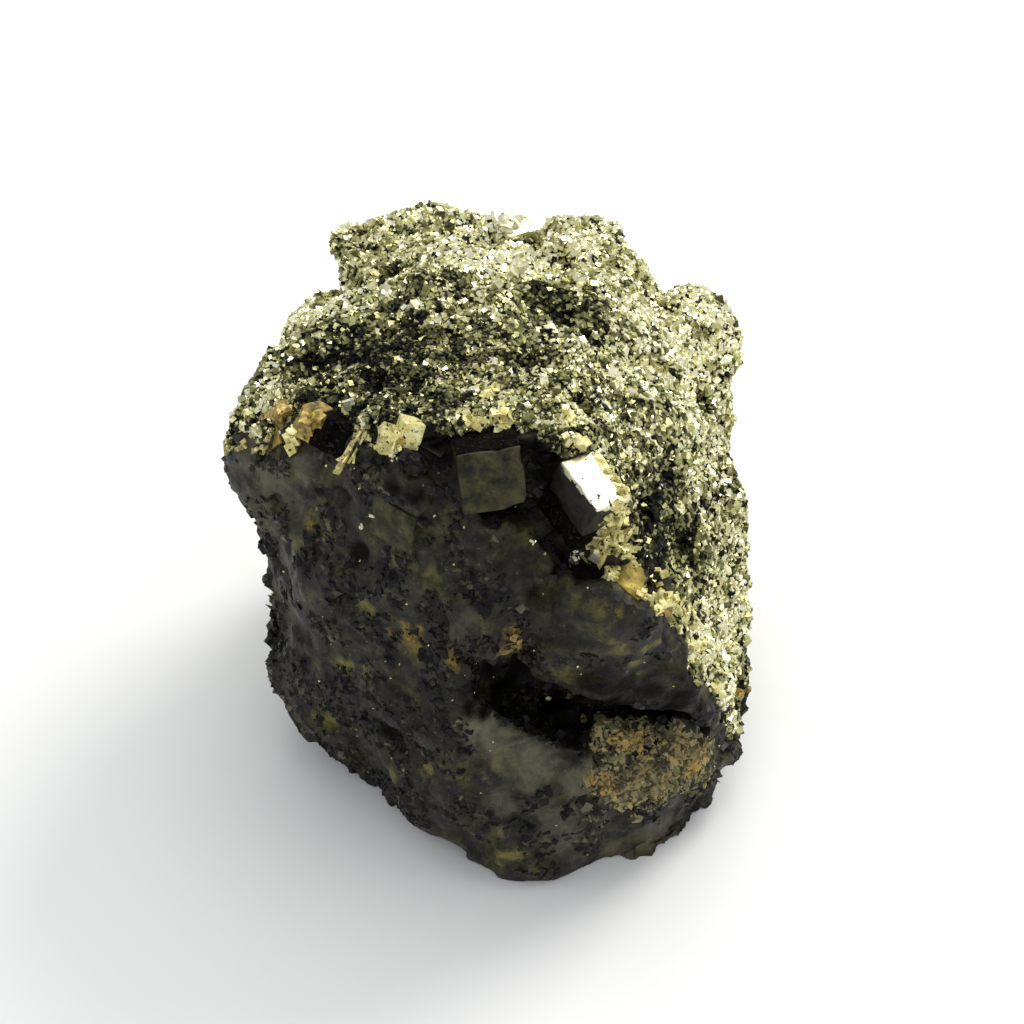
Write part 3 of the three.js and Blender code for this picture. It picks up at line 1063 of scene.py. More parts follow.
    def raise_plates(self, body: bpy.types.Object, cap: np.ndarray) -> None:
        """Lifts the plates of the broken front and sinks its hollows."""
        for plate in PLATES.values():
            points = points_of(body)
            normals = normals_of(body)
            ragged = np.stack([ripple.at(points) for ripple in self.plate_ripples], 1)
            facing = (unit(VIEW.eye - points) * normals).sum(1)
            lean, depth = (self.wrap_lean, self.wrap_depth * MM) if plate.wraps else (0.0, 0.0)
            seen = (facing > lean) & (points[:, 1] < depth)
            lift = plate.height * plate.share(VIEW.pixels_of(points) + ragged) * seen * (1 - cap)
            move_points(body, points + normals * (lift * MM)[:, None])

    def break_faces(self, body: bpy.types.Object) -> np.ndarray:
        """Breaks the surface into small facets, each a little out of line with its neighbours.

        Args:
            body: The body, which is changed.

        Returns:
            A tone for each vertex, alike over a facet.
        """
        draw = np.random.default_rng(SEED)
        tone = np.full(len(body.data.vertices), 0.5)
        for size, step, limit in zip(self.facet_sizes, self.facet_steps, self.facet_limits):
            points = points_of(body)
            normals = normals_of(body)
            seeds, leaning, own = self.facets(points, normals, size, draw)
            height = draw.normal(0, step * MM, len(seeds))[own]
            out = leaning[own]
            lift = height - self.facet_pull * ((points - points[seeds][own]) * out).sum(-1)
            facing = np.maximum((normals * out).sum(-1), self.facet_facing)
            lift = np.clip(lift / facing, -limit * MM, limit * MM)
            lift *= ~inside_crystals(points, self.clear)
            move_points(body, points + normals * lift[:, None])
            tone = (1 - self.facet_mix) * tone + self.facet_mix * draw.uniform(0, 1, len(seeds))[own]
        return tone

    def facets(
        self, points: np.ndarray, normals: np.ndarray, size: float, draw: np.random.Generator,
    ) -> tuple[np.ndarray, np.ndarray, np.ndarray]:
        """Shares the surface out among facets with uneven leans and outlines.

        Args:
            points: The body's vertices, in metres.
            normals: The directions there.
            size: The facets' size, in millimetres.
            draw: Source of random numbers.

        Returns:
            The vertex that each facet lies about, each facet's direction, and the facet of each vertex.
        """
        order = draw.permutation(len(points))
        _, first = np.unique(np.floor(points[order] / (size * MM)).astype(int), axis=0, return_index=True)
        seeds = order[np.sort(first)]
        tree = KDTree(len(seeds))
        for number, seed in enumerate(seeds):
            tree.insert(points[seed], number)
        tree.balance()
        found = (tree.find_n(point, self.facet_neighbours) for point in points)
        near = np.array([[number for _, number, _ in neighbours] for neighbours in found])
        leaning = unit(normals[seeds] + draw.normal(0, self.facet_lean, (len(seeds), 3)))
        sideways = unit(np.cross(leaning, draw.normal(0, 1, (len(seeds), 3))))
        across = np.cross(leaning, sideways)
        stretch = draw.uniform(*self.facet_stretch, (len(seeds), 2))
        away = points[:, None] - points[seeds][near]
        reach = np.maximum(
            np.abs((away * sideways[near]).sum(-1)) * stretch[near][..., 0],
            np.abs((away * across[near]).sum(-1)) * stretch[near][..., 1],
        )
        own = near[np.arange(len(points)), reach.argmin(1)]
        return seeds, leaning, own

    def sink(self, body: bpy.types.Object, cap: np.ndarray) -> None:
        """Lowers the surface under the crust, with lumps and the dark valleys between them."""
        points = points_of(body)
        normals = normals_of(body)
        depth = cap * (self.crust_depth - sum(lumps.at(points) for lumps in self.crust_lumps))
        tree = self.tree(body)
        wander = 1 + self.valley_ripple.at(points)
        for spot in VALLEYS:
            depth += spot.hump(points, tree, wander)
        depth = np.maximum(depth, -self.crust_rise) + self.grit.at(points)
        depth *= ~inside_crystals(points, self.clear)
        sunk = points - normals * (depth * MM)[:, None]
        sunk[:, 2] = np.maximum(sunk[:, 2], 0)
        move_points(body, sunk)

    def tuck(self, body: bpy.types.Object) -> None:
        """Draws the surface in under the larger crystals, so that the crystals' own faces show."""
        points = points_of(body)
        for crystal in CRYSTALS:
            local = (points / MM - crystal.middle) @ crystal.turn
            half = np.array(crystal.edges) / 2
            near = (np.abs(local) < half + [self.reach, self.reach, crystal.headroom]).all(1)
            room = np.maximum(half - self.inset, 0)
            local[near] = np.clip(local[near], -room, room)
            points = (local @ crystal.turn.T + crystal.middle) * MM
        move_points(body, points)

    @staticmethod
    def tree(body: bpy.types.Object) -> BVHTree:
        """Sorts the body's faces for finding what shows at a pixel."""
        return BVHTree.FromObject(body, bpy.context.evaluated_depsgraph_get())

    def mark(self, body: bpy.types.Object) -> None:
        """Stores where the front's stains, painted light and painted shade, the ledge's rusty grains and the
        front's dark grains lie.
        """
        points = points_of(body)
        tree = self.tree(body)
        wander = sum((ripple.at(points) for ripple in self.stain_ripples), start=1)
        amounts: dict[str, np.ndarray] = {}
        for name, placed in ({fleck.value: FLECKS[fleck] for fleck in Fleck} | {"rust": RUST}).items():
            amount = np.zeros(len(points))
            for spot in placed:
                inside = 1 - smooth_step(spot.away(points, tree) * wander, *self.stain_edge)
                amount = np.maximum(amount, spot.strength * inside)
            write_attribute(body, name, amount)
            amounts[name] = amount
        write_attribute(body, "front", self.soot_share(body, amounts))

    def soot_share(self, body: bpy.types.Object, amounts: dict[str, np.ndarray]) -> np.ndarray:
        """Finds where dark grains stand on the broken front, clear of its painted shade and mostly clear of
        its stains, painted light and even plates.

        Args:
            body: The body, with its cap attribute.
            amounts: How much of each stain lies at each vertex.

        Returns:
            A share from 0 to 1 for each vertex.
        """
        points = points_of(body)
        seen = VIEW.pixels_of(points)
        even = np.max([PLATES[name].share(seen) for name in EVEN_PLATES], axis=0)
        stained = np.max(list(amounts.values()), axis=0)
        bare = (1 - read_attribute(body, "cap")) * (points[:, 2] > self.soot_foot * MM)
        rough = smooth_step(sum(ripple.at(points) for ripple in self.soot_ripples), *self.soot_range)
        off_stains = 1 - self.clear_of_stains * stained
        off_plates = 1 - self.clear_of_plates * even
        return bare * rough * off_stains * off_plates * (1 - amounts[Fleck.SOOT.value])

    def dress(self, body: bpy.types.Object) -> None:
        """Gives the body its finish and its place in the part."""
        register(body, FractureFinish().material())
        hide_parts(NODE)
        make_active(body)
        bpy.ops.object.shade_smooth_by_angle(angle=math.radians(self.crease))


# The crust

# Light and dark areas of the crust: strength is how much paler than the rest, or darker if below zero
# Partly painted: many darker spots lie over the valleys as painted shade, and paler spots at the back, as on
# the knob and in the notch, are painted light
CRUST_TONES: tuple[Spot, ...] = spots(
    (700, 320, 3.2, 0.3), (725, 660, 3.0, 0.3), (330, 320, 4.0, 0.12), (285, 480, 2.5, 0.3),
    (690, 640, 1.5, 0.2), (735, 600, 2.0, 0.35), (728, 640, 1.8, 0.2), (262, 400, 1.4, 0.2),
    (250, 430, 1.0, 0.2), (660, 560, 1.4, -0.3), (640, 575, 1.0, -0.3), (690, 565, 1.2, -0.25),
    (560, 620, 2.0, 0.15), (507, 230, 2.2, 0.5), (500, 242, 1.3, 0.5), (515, 262, 1.8, 0.55),
    (511, 290, 1.4, 0.3), (459, 259, 2.0, 0.15), (625, 299, 1.6, 0.3), (677, 350, 2.4, 0.35),
    (625, 380, 2.2, 0.3), (577, 350, 1.2, 0.3), (644, 414, 2.0, 0.25), (490, 388, 1.8, 0.3),
    (544, 381, 1.2, 0.2), (459, 305, 1.0, 0.1), (352, 403, 0.8, 0.25), (655, 605, 1.3, 0.3),
    (700, 630, 2.2, 0.25), (725, 690, 2.4, 0.32), (580, 830, 4.0, 0.25), (610, 415, 1.5, 0.2),
    (700, 460, 1.8, 0.12), (529, 288, 1.2, -0.5), (555, 302, 1.6, -0.4), (588, 320, 1.6, -0.4),
    (540, 325, 1.2, -0.3), (489, 333, 1.4, -0.25), (459, 335, 1.3, -0.2), (524, 360, 1.3, -0.4),
    (407, 281, 1.5, -0.3), (341, 340, 1.7, -0.35), (315, 362, 2.0, -0.35), (366, 355, 1.8, -0.3),
    (407, 350, 1.4, -0.25), (390, 380, 1.8, -0.35), (440, 277, 1.2, -0.2), (605, 235, 2.4, -0.1),
    (681, 307, 2.2, -0.2), (359, 240, 2.4, -0.2), (300, 400, 1.6, -0.3), (430, 405, 1.4, -0.2),
    (659, 508, 1.3, -0.35), (681, 542, 1.2, -0.3), (640, 532, 1.2, -0.3), (699, 399, 1.1, -0.35),
    (507, 421, 1.1, 0.45), (480, 421, 1.0, 0.4), (453, 417, 0.9, 0.35), (568, 419, 0.9, 0.55),
    (577, 440, 0.8, 0.5), (555, 401, 0.9, 0.3), (540, 418, 0.8, 0.2), (399, 306, 1.0, -0.5),
    (417, 319, 0.9, -0.45), (437, 300, 1.0, -0.4), (391, 278, 1.1, -0.45), (651, 344, 1.1, 0.4),
    (638, 390, 1.0, -0.4), (264, 373, 1.1, 0.4), (733, 635, 1.2, 0.35), (619, 736, 0.7, 0.35),
    (641, 744, 0.8, 0.45), (697, 765, 0.8, 0.45), (603, 787, 0.7, 0.35), (664, 790, 0.7, 0.4),
    (669, 321, 1.2, -0.45), (355, 416, 0.8, -0.5), (314, 341, 1.0, 0.4), (730, 715, 1.6, 0.3),
    (295, 387, 0.9, 0.3), (624, 445, 0.8, 0.3), (714, 386, 1.0, 0.35), (232, 445, 0.8, 0.35),
    (533, 352, 0.6, 0.3), (700, 420, 3.0, 0.08), (504, 356, 1.0, -0.45), (648, 408, 0.9, -0.45),
    (677, 422, 0.9, -0.45), (506, 309, 0.9, 0.4), (728, 497, 1.0, 0.25), (618, 289, 0.9, -0.35),
    (352, 232, 1.0, 0.3), (715, 611, 1.2, 0.4), (685, 579, 1.0, 0.35), (257, 401, 0.9, 0.2),
)


@dataclass
class GrainCrust:
    """Thousands of small crystals over one region of the body, partly sunk in it.

    As it stands it is the bright crust of the top, right flank and back. Lengths are in millimetres, drifts
    are tones to the millimetre across and along, and the upper and right leans tell the crust's sides apart.
    """

    region: str = "cap"
    finish: GrainFinish = GrainFinish()
    spacing: float = 0.25
    tries: int = 8
    fineness: float = 0.76
    fine_right: float = 8.0
    fine_back: float = -1.0
    fine_lean: float = 0.4
    edge_middle: float = 0.24
    edge_spread: float = 0.3
    edge_limit: float = 0.45
    edge_range: tuple[float, float] = (0.7, 1.3)
    sunk: float = 0.2
    border: float = 0.45
    upper_lean: float = 0.5
    right_lean: float = 0.2
    tone: float = 0.55
    scatter: float = 0.19
    # Painted light: the tones grow paler towards the back, where the light from behind falls, and a little
    # paler to the right
    drift_across: float = 0.002
    drift_along: float = 0.018
    patches: tuple[Swell, ...] = (Swell(0.2, 2.8, 21), Swell(0.3, 0.8, 22))
    ripple: Swell = Swell(0.4, 1.2, 23)
    stained: float = 0.5
    stained_share: float = 0.2
    back_freshness: float = 0.7
    back_range: tuple[float, float] = (-2.0, 8.0)

    def build(self, body: bpy.types.Object) -> list[bpy.types.Object]:
        """Grows the crust on the body.

        Args:
            body: The lump's body, with the attribute that says where this crust lies.

        Returns:
            One joined mesh for each side of the crust that has grains.
        """
        draw = np.random.default_rng(SEED + 1)
        places, outward, scale = self.spread(body, draw)
        tones = self.tones(places, LumpBody.tree(body), draw)
        upper = outward[:, 2] > self.upper_lean
        right = ~upper & (outward[:, 0] > np.maximum(outward[:, 1], self.right_lean))
        front = upper & (places[:, 1] < 0)
        back = ~upper & ~right
        left = places[:, 0] < 0
        sides = {
            "top_front": front, "top_back": upper & ~front, "flank": right,
            "back_left": back & left, "back_right": back & ~left,
        }
        return [
            self.grains(f"{self.region}_{name}", places[side], outward[side], tones[side], scale[side], draw)
            for name, side in sides.items() if side.any()
        ]

    def spread(
        self, body: bpy.types.Object, draw: np.random.Generator,
    ) -> tuple[np.ndarray, np.ndarray, np.ndarray]:
        """Picks the grains' places, clear of the larger crystals and closer together behind the ridge.

        Args:
            body: The lump's body.
            draw: Source of random numbers.

        Returns:
            The places, the outward directions there, and the grains' scale.
        """
        mesh = body.data
        mesh.calc_loop_triangles()
        corners = np.zeros(len(mesh.loop_triangles) * 3, np.int32)
        mesh.loop_triangles.foreach_get("vertices", corners)
        corners = corners.reshape(-1, 3)
        points = points_of(body)[corners]
        normals = normals_of(body)[corners]
        area = np.linalg.norm(np.cross(points[:, 1] - points[:, 0], points[:, 2] - points[:, 0]), axis=1) / 2
        covered = read_attribute(body, self.region)[corners].mean(1)
        area *= np.where(covered > self.border, covered, 0)
        count = int(self.tries * area.sum() / (self.spacing * MM) ** 2)
        chosen = draw.choice(len(area), count, p=area / area.sum())
        share = draw.dirichlet((1, 1, 1), count)
        places = (points[chosen] * share[..., None]).sum(1)
        outward = unit((normals[chosen] * share[..., None]).sum(1))
        fine = (places[:, 1] < self.fine_back * MM) & (places[:, 0] < self.fine_right * MM)
        fine &= outward[:, 2] > self.fine_lean
        scale = np.where(fine, self.fineness, 1.0)
        cells = np.floor(places / (self.spacing * scale[:, None] * MM)).astype(int)
        _, kept = np.unique(np.column_stack([cells, fine]), axis=0, return_index=True)
        kept.sort()
        kept = kept[~inside_crystals(places[kept])]
        return places[kept], outward[kept], scale[kept]

    def tones(self, places: np.ndarray, tree: BVHTree, draw: np.random.Generator) -> np.ndarray:
        """Draws each grain's tone, from black to fresh brass.

        Args:
            places: The grains' places, in metres.
            tree: The body's faces.
            draw: Source of random numbers.

        Returns:
            A tone from 0 to 1 for each grain.
        """
        patch = sum(layer.at(places) for layer in self.patches)
        drift = self.drift_across * places[:, 0] / MM + self.drift_along * places[:, 1] / MM
        tone = self.tone + patch + drift
        wander = 1 + self.ripple.at(places)
        for spot in CRUST_TONES:
            tone += spot.hump(places, tree, wander)
        back = smooth_step(places[:, 1] / MM, *self.back_range)
        share = self.stained_share * (1 - self.back_freshness * back)
        stained = self.stained * (draw.uniform(0, 1, len(places)) < share)
        return np.clip(tone - stained + draw.normal(0, self.scatter, len(places)), 0, 1)

    def grains(
        self, name: str, places: np.ndarray, outward: np.ndarray, tones: np.ndarray, scale: np.ndarray,
        draw: np.random.Generator,
    ) -> bpy.types.Object:
        """Makes one joined mesh of grains.

        Args:
            name: The piece's name.
            places: The grains' places, in metres.
            outward: The surface's directions there.
            tones: The grains' tones.
            scale: The grains' scale.
            draw: Source of random numbers.

        Returns:
            The piece, with a tone for each grain.
        """
        count = len(places)
        edge = np.minimum(self.edge_middle * np.exp(draw.normal(0, self.edge_spread, count)), self.edge_limit)
        edge *= scale * MM
        edges = edge[:, None] * draw.uniform(*self.edge_range, (count, 3))
        middles = places - outward * (self.sunk * edge)[:, None]
        piece = crystal_heap(name, middles, random_turns(count, draw), edges, draw)
        write_attribute(piece, "tone", np.repeat(tones, 8))
        return piece

    def dress(self, pieces: list[bpy.types.Object]) -> None:
        """Gives the crust its finish and its place in the part."""
        finish = self.finish.material()
        for piece in pieces:
            register(piece, finish)


# The ridge

# Places on the lump are shares of its half width, half depth and height, about a middle in the part's frame
SHARE_SIZES: Triple = (16.0, 18.0, 31.0)
SHARE_MIDDLE: Triple = (0.733, -0.03, 0.0)


@dataclass(frozen=True)
class Crystal:
    """One straight crystal: its place in shares, edges in millimetres, and turns about X, Y and Z in degrees.

    The offset moves it along its own edges, for faces and neighbours in line with another one, and the
    headroom keeps the body off its top. Both are in millimetres.
    """

    face: Face
    place: Triple
    edges: Triple
    turns: Triple
    offset: Triple = (0.0, 0.0, 0.0)
    headroom: float = 0.6

    @property
    def turn(self) -> np.ndarray:
        """The crystal's turn, about its own Z, then Y, then X."""
        return np.array(Euler([math.radians(angle) for angle in self.turns], "ZYX").to_matrix())

    @property
    def middle(self) -> np.ndarray:
        """The crystal's middle, in millimetres."""
        return np.array(self.place) * SHARE_SIZES + SHARE_MIDDLE + self.turn @ np.array(self.offset)

    def shares(self, points: np.ndarray, margin: float = 0.0) -> np.ndarray:
        """Places in metres as shares of the crystal's half edges, each grown by a margin in millimetres."""
        return (points / MM - self.middle) @ self.turn / (np.array(self.edges) / 2 + margin)


# Places and turns of the crystals that others are in line with
OLIVE_CUBE = ((-0.08, -0.6, 0.87), (-17, -6, 8))
BRIGHT_CUBE = ((0.24, -0.65, 0.82), (10, 20, 35))
GOLD_CUBE = ((0.373, -0.725, 0.65), (15, 25, -30))
BRASS_CUBE = ((-0.35, -0.53, 0.92), (-30, 15, 12))
BRASS_PLATE = ((-0.64, -0.38, 0.85), (-20, 22, -25))


def grown(
    face: Face, host: tuple[Triple, Triple], edges: Triple, offset: Triple = (0.0, 0.0, 0.0),
    headroom: float = 0.6,
) -> Crystal:
    """Makes a crystal in line with a host's place and turns."""
    return Crystal(face, host[0], edges, host[1], offset, headroom)


CRYSTALS: tuple[Crystal, ...] = (
    grown(Face.OLIVE, OLIVE_CUBE, (3.45, 3.55, 3.45)),
    # Painted shade: a thin black plate over the olive cube's top
    grown(Face.PAINTED_SHADE_BLACK, OLIVE_CUBE, (3.4, 3.4, 0.3), (0, 0.1, 1.65)),
    # Painted shade: the bright cube is charcoal, and black at its foot, below its bright top plate
    grown(Face.DARK, BRIGHT_CUBE, (2.55, 3.45, 2.2), (0, 0, 0.74)),
    grown(Face.PAINTED_SHADE_BLACK, BRIGHT_CUBE, (2.5, 3.4, 1.5), (0, 0, -1.1)),
    grown(Face.BRIGHT, BRIGHT_CUBE, (2.5, 3.4, 0.4), (0, 0, 1.75), 2.0),
    grown(Face.BRASS, BRIGHT_CUBE, (0.6, 3.2, 0.42), (0.97, 0, 1.77)),
    Crystal(Face.OLIVE, (-0.36, -0.59, 0.75), (3.1, 2.6, 2.4), (-12, 10, -38)),
    grown(Face.GOLD, GOLD_CUBE, (2.0, 2.15, 2.8)),
    # Painted glints: pale cream plates on the gold cube's sides
    grown(Face.PAINTED_GLINT_CREAM, GOLD_CUBE, (0.45, 2.0, 2.7), (-1.1, -0.05, 0.0)),
    grown(Face.PAINTED_GLINT_CREAM, GOLD_CUBE, (2.0, 0.4, 0.7), (0.2, -0.95, -1.15)),
    Crystal(Face.OLIVE, (0.5, -0.69, 0.61), (1.65, 1.85, 2.25), (30, 10, 20)),
    grown(Face.BRASS, BRASS_CUBE, (0.9, 1.9, 1.5), (-0.85, 0.0, -0.7)),
    # Painted glint: a pale cream crystal beside the brass cube
    grown(Face.PAINTED_GLINT_CREAM, BRASS_CUBE, (1.25, 1.9, 1.55), (0.15, 0.05, -0.1)),
    grown(Face.OCHRE, BRASS_PLATE, (1.3, 1.6, 2.0), (-1.05, 0.0, 0.05)),
    # Painted shade: black blocks in the crevice beside the ochre plate
    grown(Face.PAINTED_SHADE_BLACK, BRASS_PLATE, (1.1, 1.65, 1.9), (0.05, 0.05, 0.0)),
    grown(Face.PAINTED_SHADE_BLACK, BRASS_PLATE, (1.2, 1.6, 1.9), (1.1, 0.05, 0.0)),
    Crystal(Face.OCHRE, (-0.82, -0.22, 0.77), (2.25, 2.45, 2.25), (20, 35, 15)),
    Crystal(Face.BRIGHT, (-0.02, 0.74, 0.845), (1.5, 1.8, 1.6), (10, 20, 35)),
    Crystal(Face.BRIGHT, (0.025, 0.78, 0.835), (1.3, 1.5, 1.4), (4, 24, 20)),
    Crystal(Face.BRIGHT, (0.07, 0.8, 0.815), (1.4, 1.4, 1.3), (14, 16, 50)),
)


def inside_crystals(places: np.ndarray, margin: float = 0.15) -> np.ndarray:
    """Finds the places that a larger crystal takes up.

    Args:
        places: Places in metres, one a row.
        margin: How far outside the crystal still counts, in millimetres.

    Returns:
        True for each place that is taken.
    """
    taken = np.zeros(len(places), bool)
    for crystal in CRYSTALS:
        taken |= (np.abs(crystal.shares(places, margin)) < 1).all(1)
    return taken


@dataclass
class RidgeCrystals:
    """The larger straight crystals that stand in the ridge, each with bevelled, slightly uneven edges.

    Lengths are in millimetres and the crease is in degrees. Chips start at a share of the way out to an edge.
    """

    bevel: float = 0.07
    cuts: int = 5
    crease: float = 30.0
    unevenness: tuple[Swell, ...] = tuple(Swell(0.06, 0.8, 30 + axis) for axis in range(3))
    chip: float = 0.3
    chip_start: float = 0.72
    chip_ripple: Swell = Swell(1.0, 0.7, 35)
    chip_range: tuple[float, float] = (0.0, 0.6)

    def build(self) -> dict[Face, bpy.types.Object]:
        """Models the crystals, joined by kind of face.

        Returns:
            One piece for each kind.
        """
        made: dict[Face, bpy.types.Object] = {}
        for face in Face:
            group = [self.crystal(crystal) for crystal in CRYSTALS if crystal.face is face]
            bpy.ops.object.select_all(action="DESELECT")
            for piece in group:
                piece.select_set(True)
            bpy.context.view_layer.objects.active = group[0]
            if len(group) > 1:
                bpy.ops.object.join()
            group[0].name = f"crystals_{face.name.lower()}"
            made[face] = group[0]
        return made

    def crystal(self, crystal: Crystal) -> bpy.types.Object:
        """Models one crystal in place.

        Args:
            crystal: Its place, size and turns.

        Returns:
            The crystal as an object at the origin.
        """
        bpy.ops.object.select_all(action="DESELECT")
        bpy.ops.mesh.primitive_cube_add(size=1)
        piece = bpy.context.active_object
        turn = Matrix(crystal.turn).to_4x4()
        size = Matrix.Diagonal((*(edge * MM for edge in crystal.edges), 1.0))
        piece.data.transform(Matrix.Translation(Vector(crystal.middle) * MM) @ turn @ size)
        bpy.ops.object.mode_set(mode="EDIT")
        bpy.ops.mesh.select_all(action="SELECT")
        bpy.ops.mesh.bevel(offset=self.bevel * MM, segments=2)
        bpy.ops.mesh.select_all(action="SELECT")
        bpy.ops.mesh.subdivide(number_cuts=self.cuts)
        bpy.ops.object.mode_set(mode="OBJECT")
        move_points(piece, self.wear(crystal, points_of(piece)))
        return piece

    def wear(self, crystal: Crystal, points: np.ndarray) -> np.ndarray:
        """Roughens a crystal's faces and chips its edges.

        Args:
            crystal: The crystal.
            points: Its vertices, in metres.

        Returns:
            The moved vertices.
        """
        near_edge = np.sort(np.abs(crystal.shares(points)), axis=1)[:, 1]
        broken = smooth_step(self.chip_ripple.at(points), *self.chip_range)
        chipped = smooth_step(near_edge, self.chip_start, 1.0) * broken
        depth = chipped * self.chip * min(1, min(crystal.edges) / 2)
        rough = np.stack([layer.at(points) for layer in self.unevenness], 1)
        inward = unit(crystal.middle * MM - points) * depth[:, None]
        return points + (rough + inward) * MM

    def dress(self, pieces: dict[Face, bpy.types.Object], finishes: Finishes) -> None:
        """Gives each kind of crystal its finish and its place in the part."""
        for face, piece in pieces.items():
            register(piece, finishes[face])
            make_active(piece)
            bpy.ops.object.shade_smooth_by_angle(angle=math.radians(self.crease))


# Specks and splinters

def surface_tree(pieces: list[bpy.types.Object]) -> BVHTree:
    """Sorts the faces of several pieces for finding what shows at a pixel.

    Args:
        pieces: The pieces, all in the part's frame.

    Returns:
        Their faces as one surface.
    """
    points, faces = [], []
    for piece in pieces:
        start = len(points)
        faces.extend([start + corner for corner in face.vertices] for face in piece.data.polygons)
        points.extend(points_of(piece).tolist())
    return BVHTree.FromPolygons(points, faces)


@dataclass(frozen=True)
class Cluster:
    """Loose-grown crystals about a pixel: their reach in pixels, number, and edge in millimetres."""

    pixel: Pixel
    reach: float
    count: int
    edge: float


def clusters(*rows: tuple[float, ...]) -> tuple[Cluster, ...]:
    """Makes clusters from rows of column, row, reach, number and edge."""
    return tuple(Cluster(row[:2], *row[2:]) for row in rows)


# Loose-grown crystals by kind of face
SPECKS: dict[Face, tuple[Cluster, ...]] = {
    Face.BRIGHT: clusters(
        (507, 226, 11, 14, 0.5), (520, 266, 11, 12, 0.5), (470, 392, 4, 7, 0.25), (352, 403, 3, 2, 0.4),
        (388, 294, 5, 4, 0.4), (418, 309, 3, 2, 0.35), (544, 381, 3, 2, 0.4), (274, 366, 2, 2, 0.35),
        (495, 361, 2, 1, 0.4), (576, 556, 5, 12, 0.2), (361, 527, 2, 4, 0.18), (373, 516, 1, 2, 0.18),
        (423, 484, 0, 1, 0.16), (434, 517, 1, 2, 0.14), (395, 455, 6, 8, 0.16), (533, 541, 2, 4, 0.16),
        (595, 551, 2, 2, 0.55), (625, 380, 16, 8, 0.35), (677, 350, 16, 8, 0.35),
    ),
    # Painted glints: pale cream specks that show bright from every side, even in the shade of the recess
    Face.PAINTED_GLINT_CREAM: clusters(
        (611, 572, 4, 12, 0.32), (643, 597, 3, 6, 0.3), (668, 606, 8, 12, 0.4), (694, 640, 9, 8, 0.4),
        (716, 690, 7, 4, 0.4), (490, 390, 12, 10, 0.35), (660, 600, 3, 6, 0.4), (296, 440, 8, 5, 0.45),
        (548, 697, 0, 1, 0.36), (584, 719, 0, 1, 0.36), (470, 420, 6, 9, 0.4), (503, 418, 6, 11, 0.4),
        (568, 421, 5, 9, 0.4), (578, 442, 4, 6, 0.35),
    ),
    Face.BRASS: clusters(
        (262, 449, 6, 12, 0.25), (244, 446, 4, 6, 0.25), (386, 432, 5, 5, 0.45), (612, 538, 8, 16, 0.32),
        (622, 550, 6, 7, 0.3), (684, 622, 10, 8, 0.4), (664, 575, 5, 8, 0.3), (612, 520, 7, 16, 0.3),
        (620, 508, 5, 10, 0.28), (601, 531, 3, 8, 0.28), (612, 472, 4, 8, 0.25), (623, 490, 3, 10, 0.25),
        (617, 478, 3, 6, 0.22),
    ),
    Face.OCHRE: clusters(
        (280, 414, 6, 5, 0.6), (400, 440, 2, 2, 0.35), (739, 690, 4, 4, 0.5), (312, 420, 5, 4, 0.6),
        (514, 638, 5, 6, 0.25), (411, 638, 3, 4, 0.25), (664, 612, 3, 3, 0.3),
    ),
}

# Long blades along the ridge, each from pixel to pixel, with its width in millimetres
BLADES: tuple[tuple[Pixel, Pixel, float], ...] = (
    ((620, 513), (599, 562), 0.3), ((607, 526), (594, 541), 0.25), ((616, 518), (606, 547), 0.2),
    ((628, 528), (612, 556), 0.3), ((364, 428), (350, 452), 0.14), ((358, 440), (338, 474), 0.14),
    ((368, 432), (354, 456), 0.12),
)

# Tufts of splinters: strength is the number of splinters
SPLINTERS: tuple[Spot, ...] = spots(
    (612, 538, 1.0, 18), (628, 552, 0.8, 10), (352, 452, 0.6, 5), (390, 444, 0.6, 6), (660, 604, 0.9, 6),
    (590, 546, 0.6, 6),
)


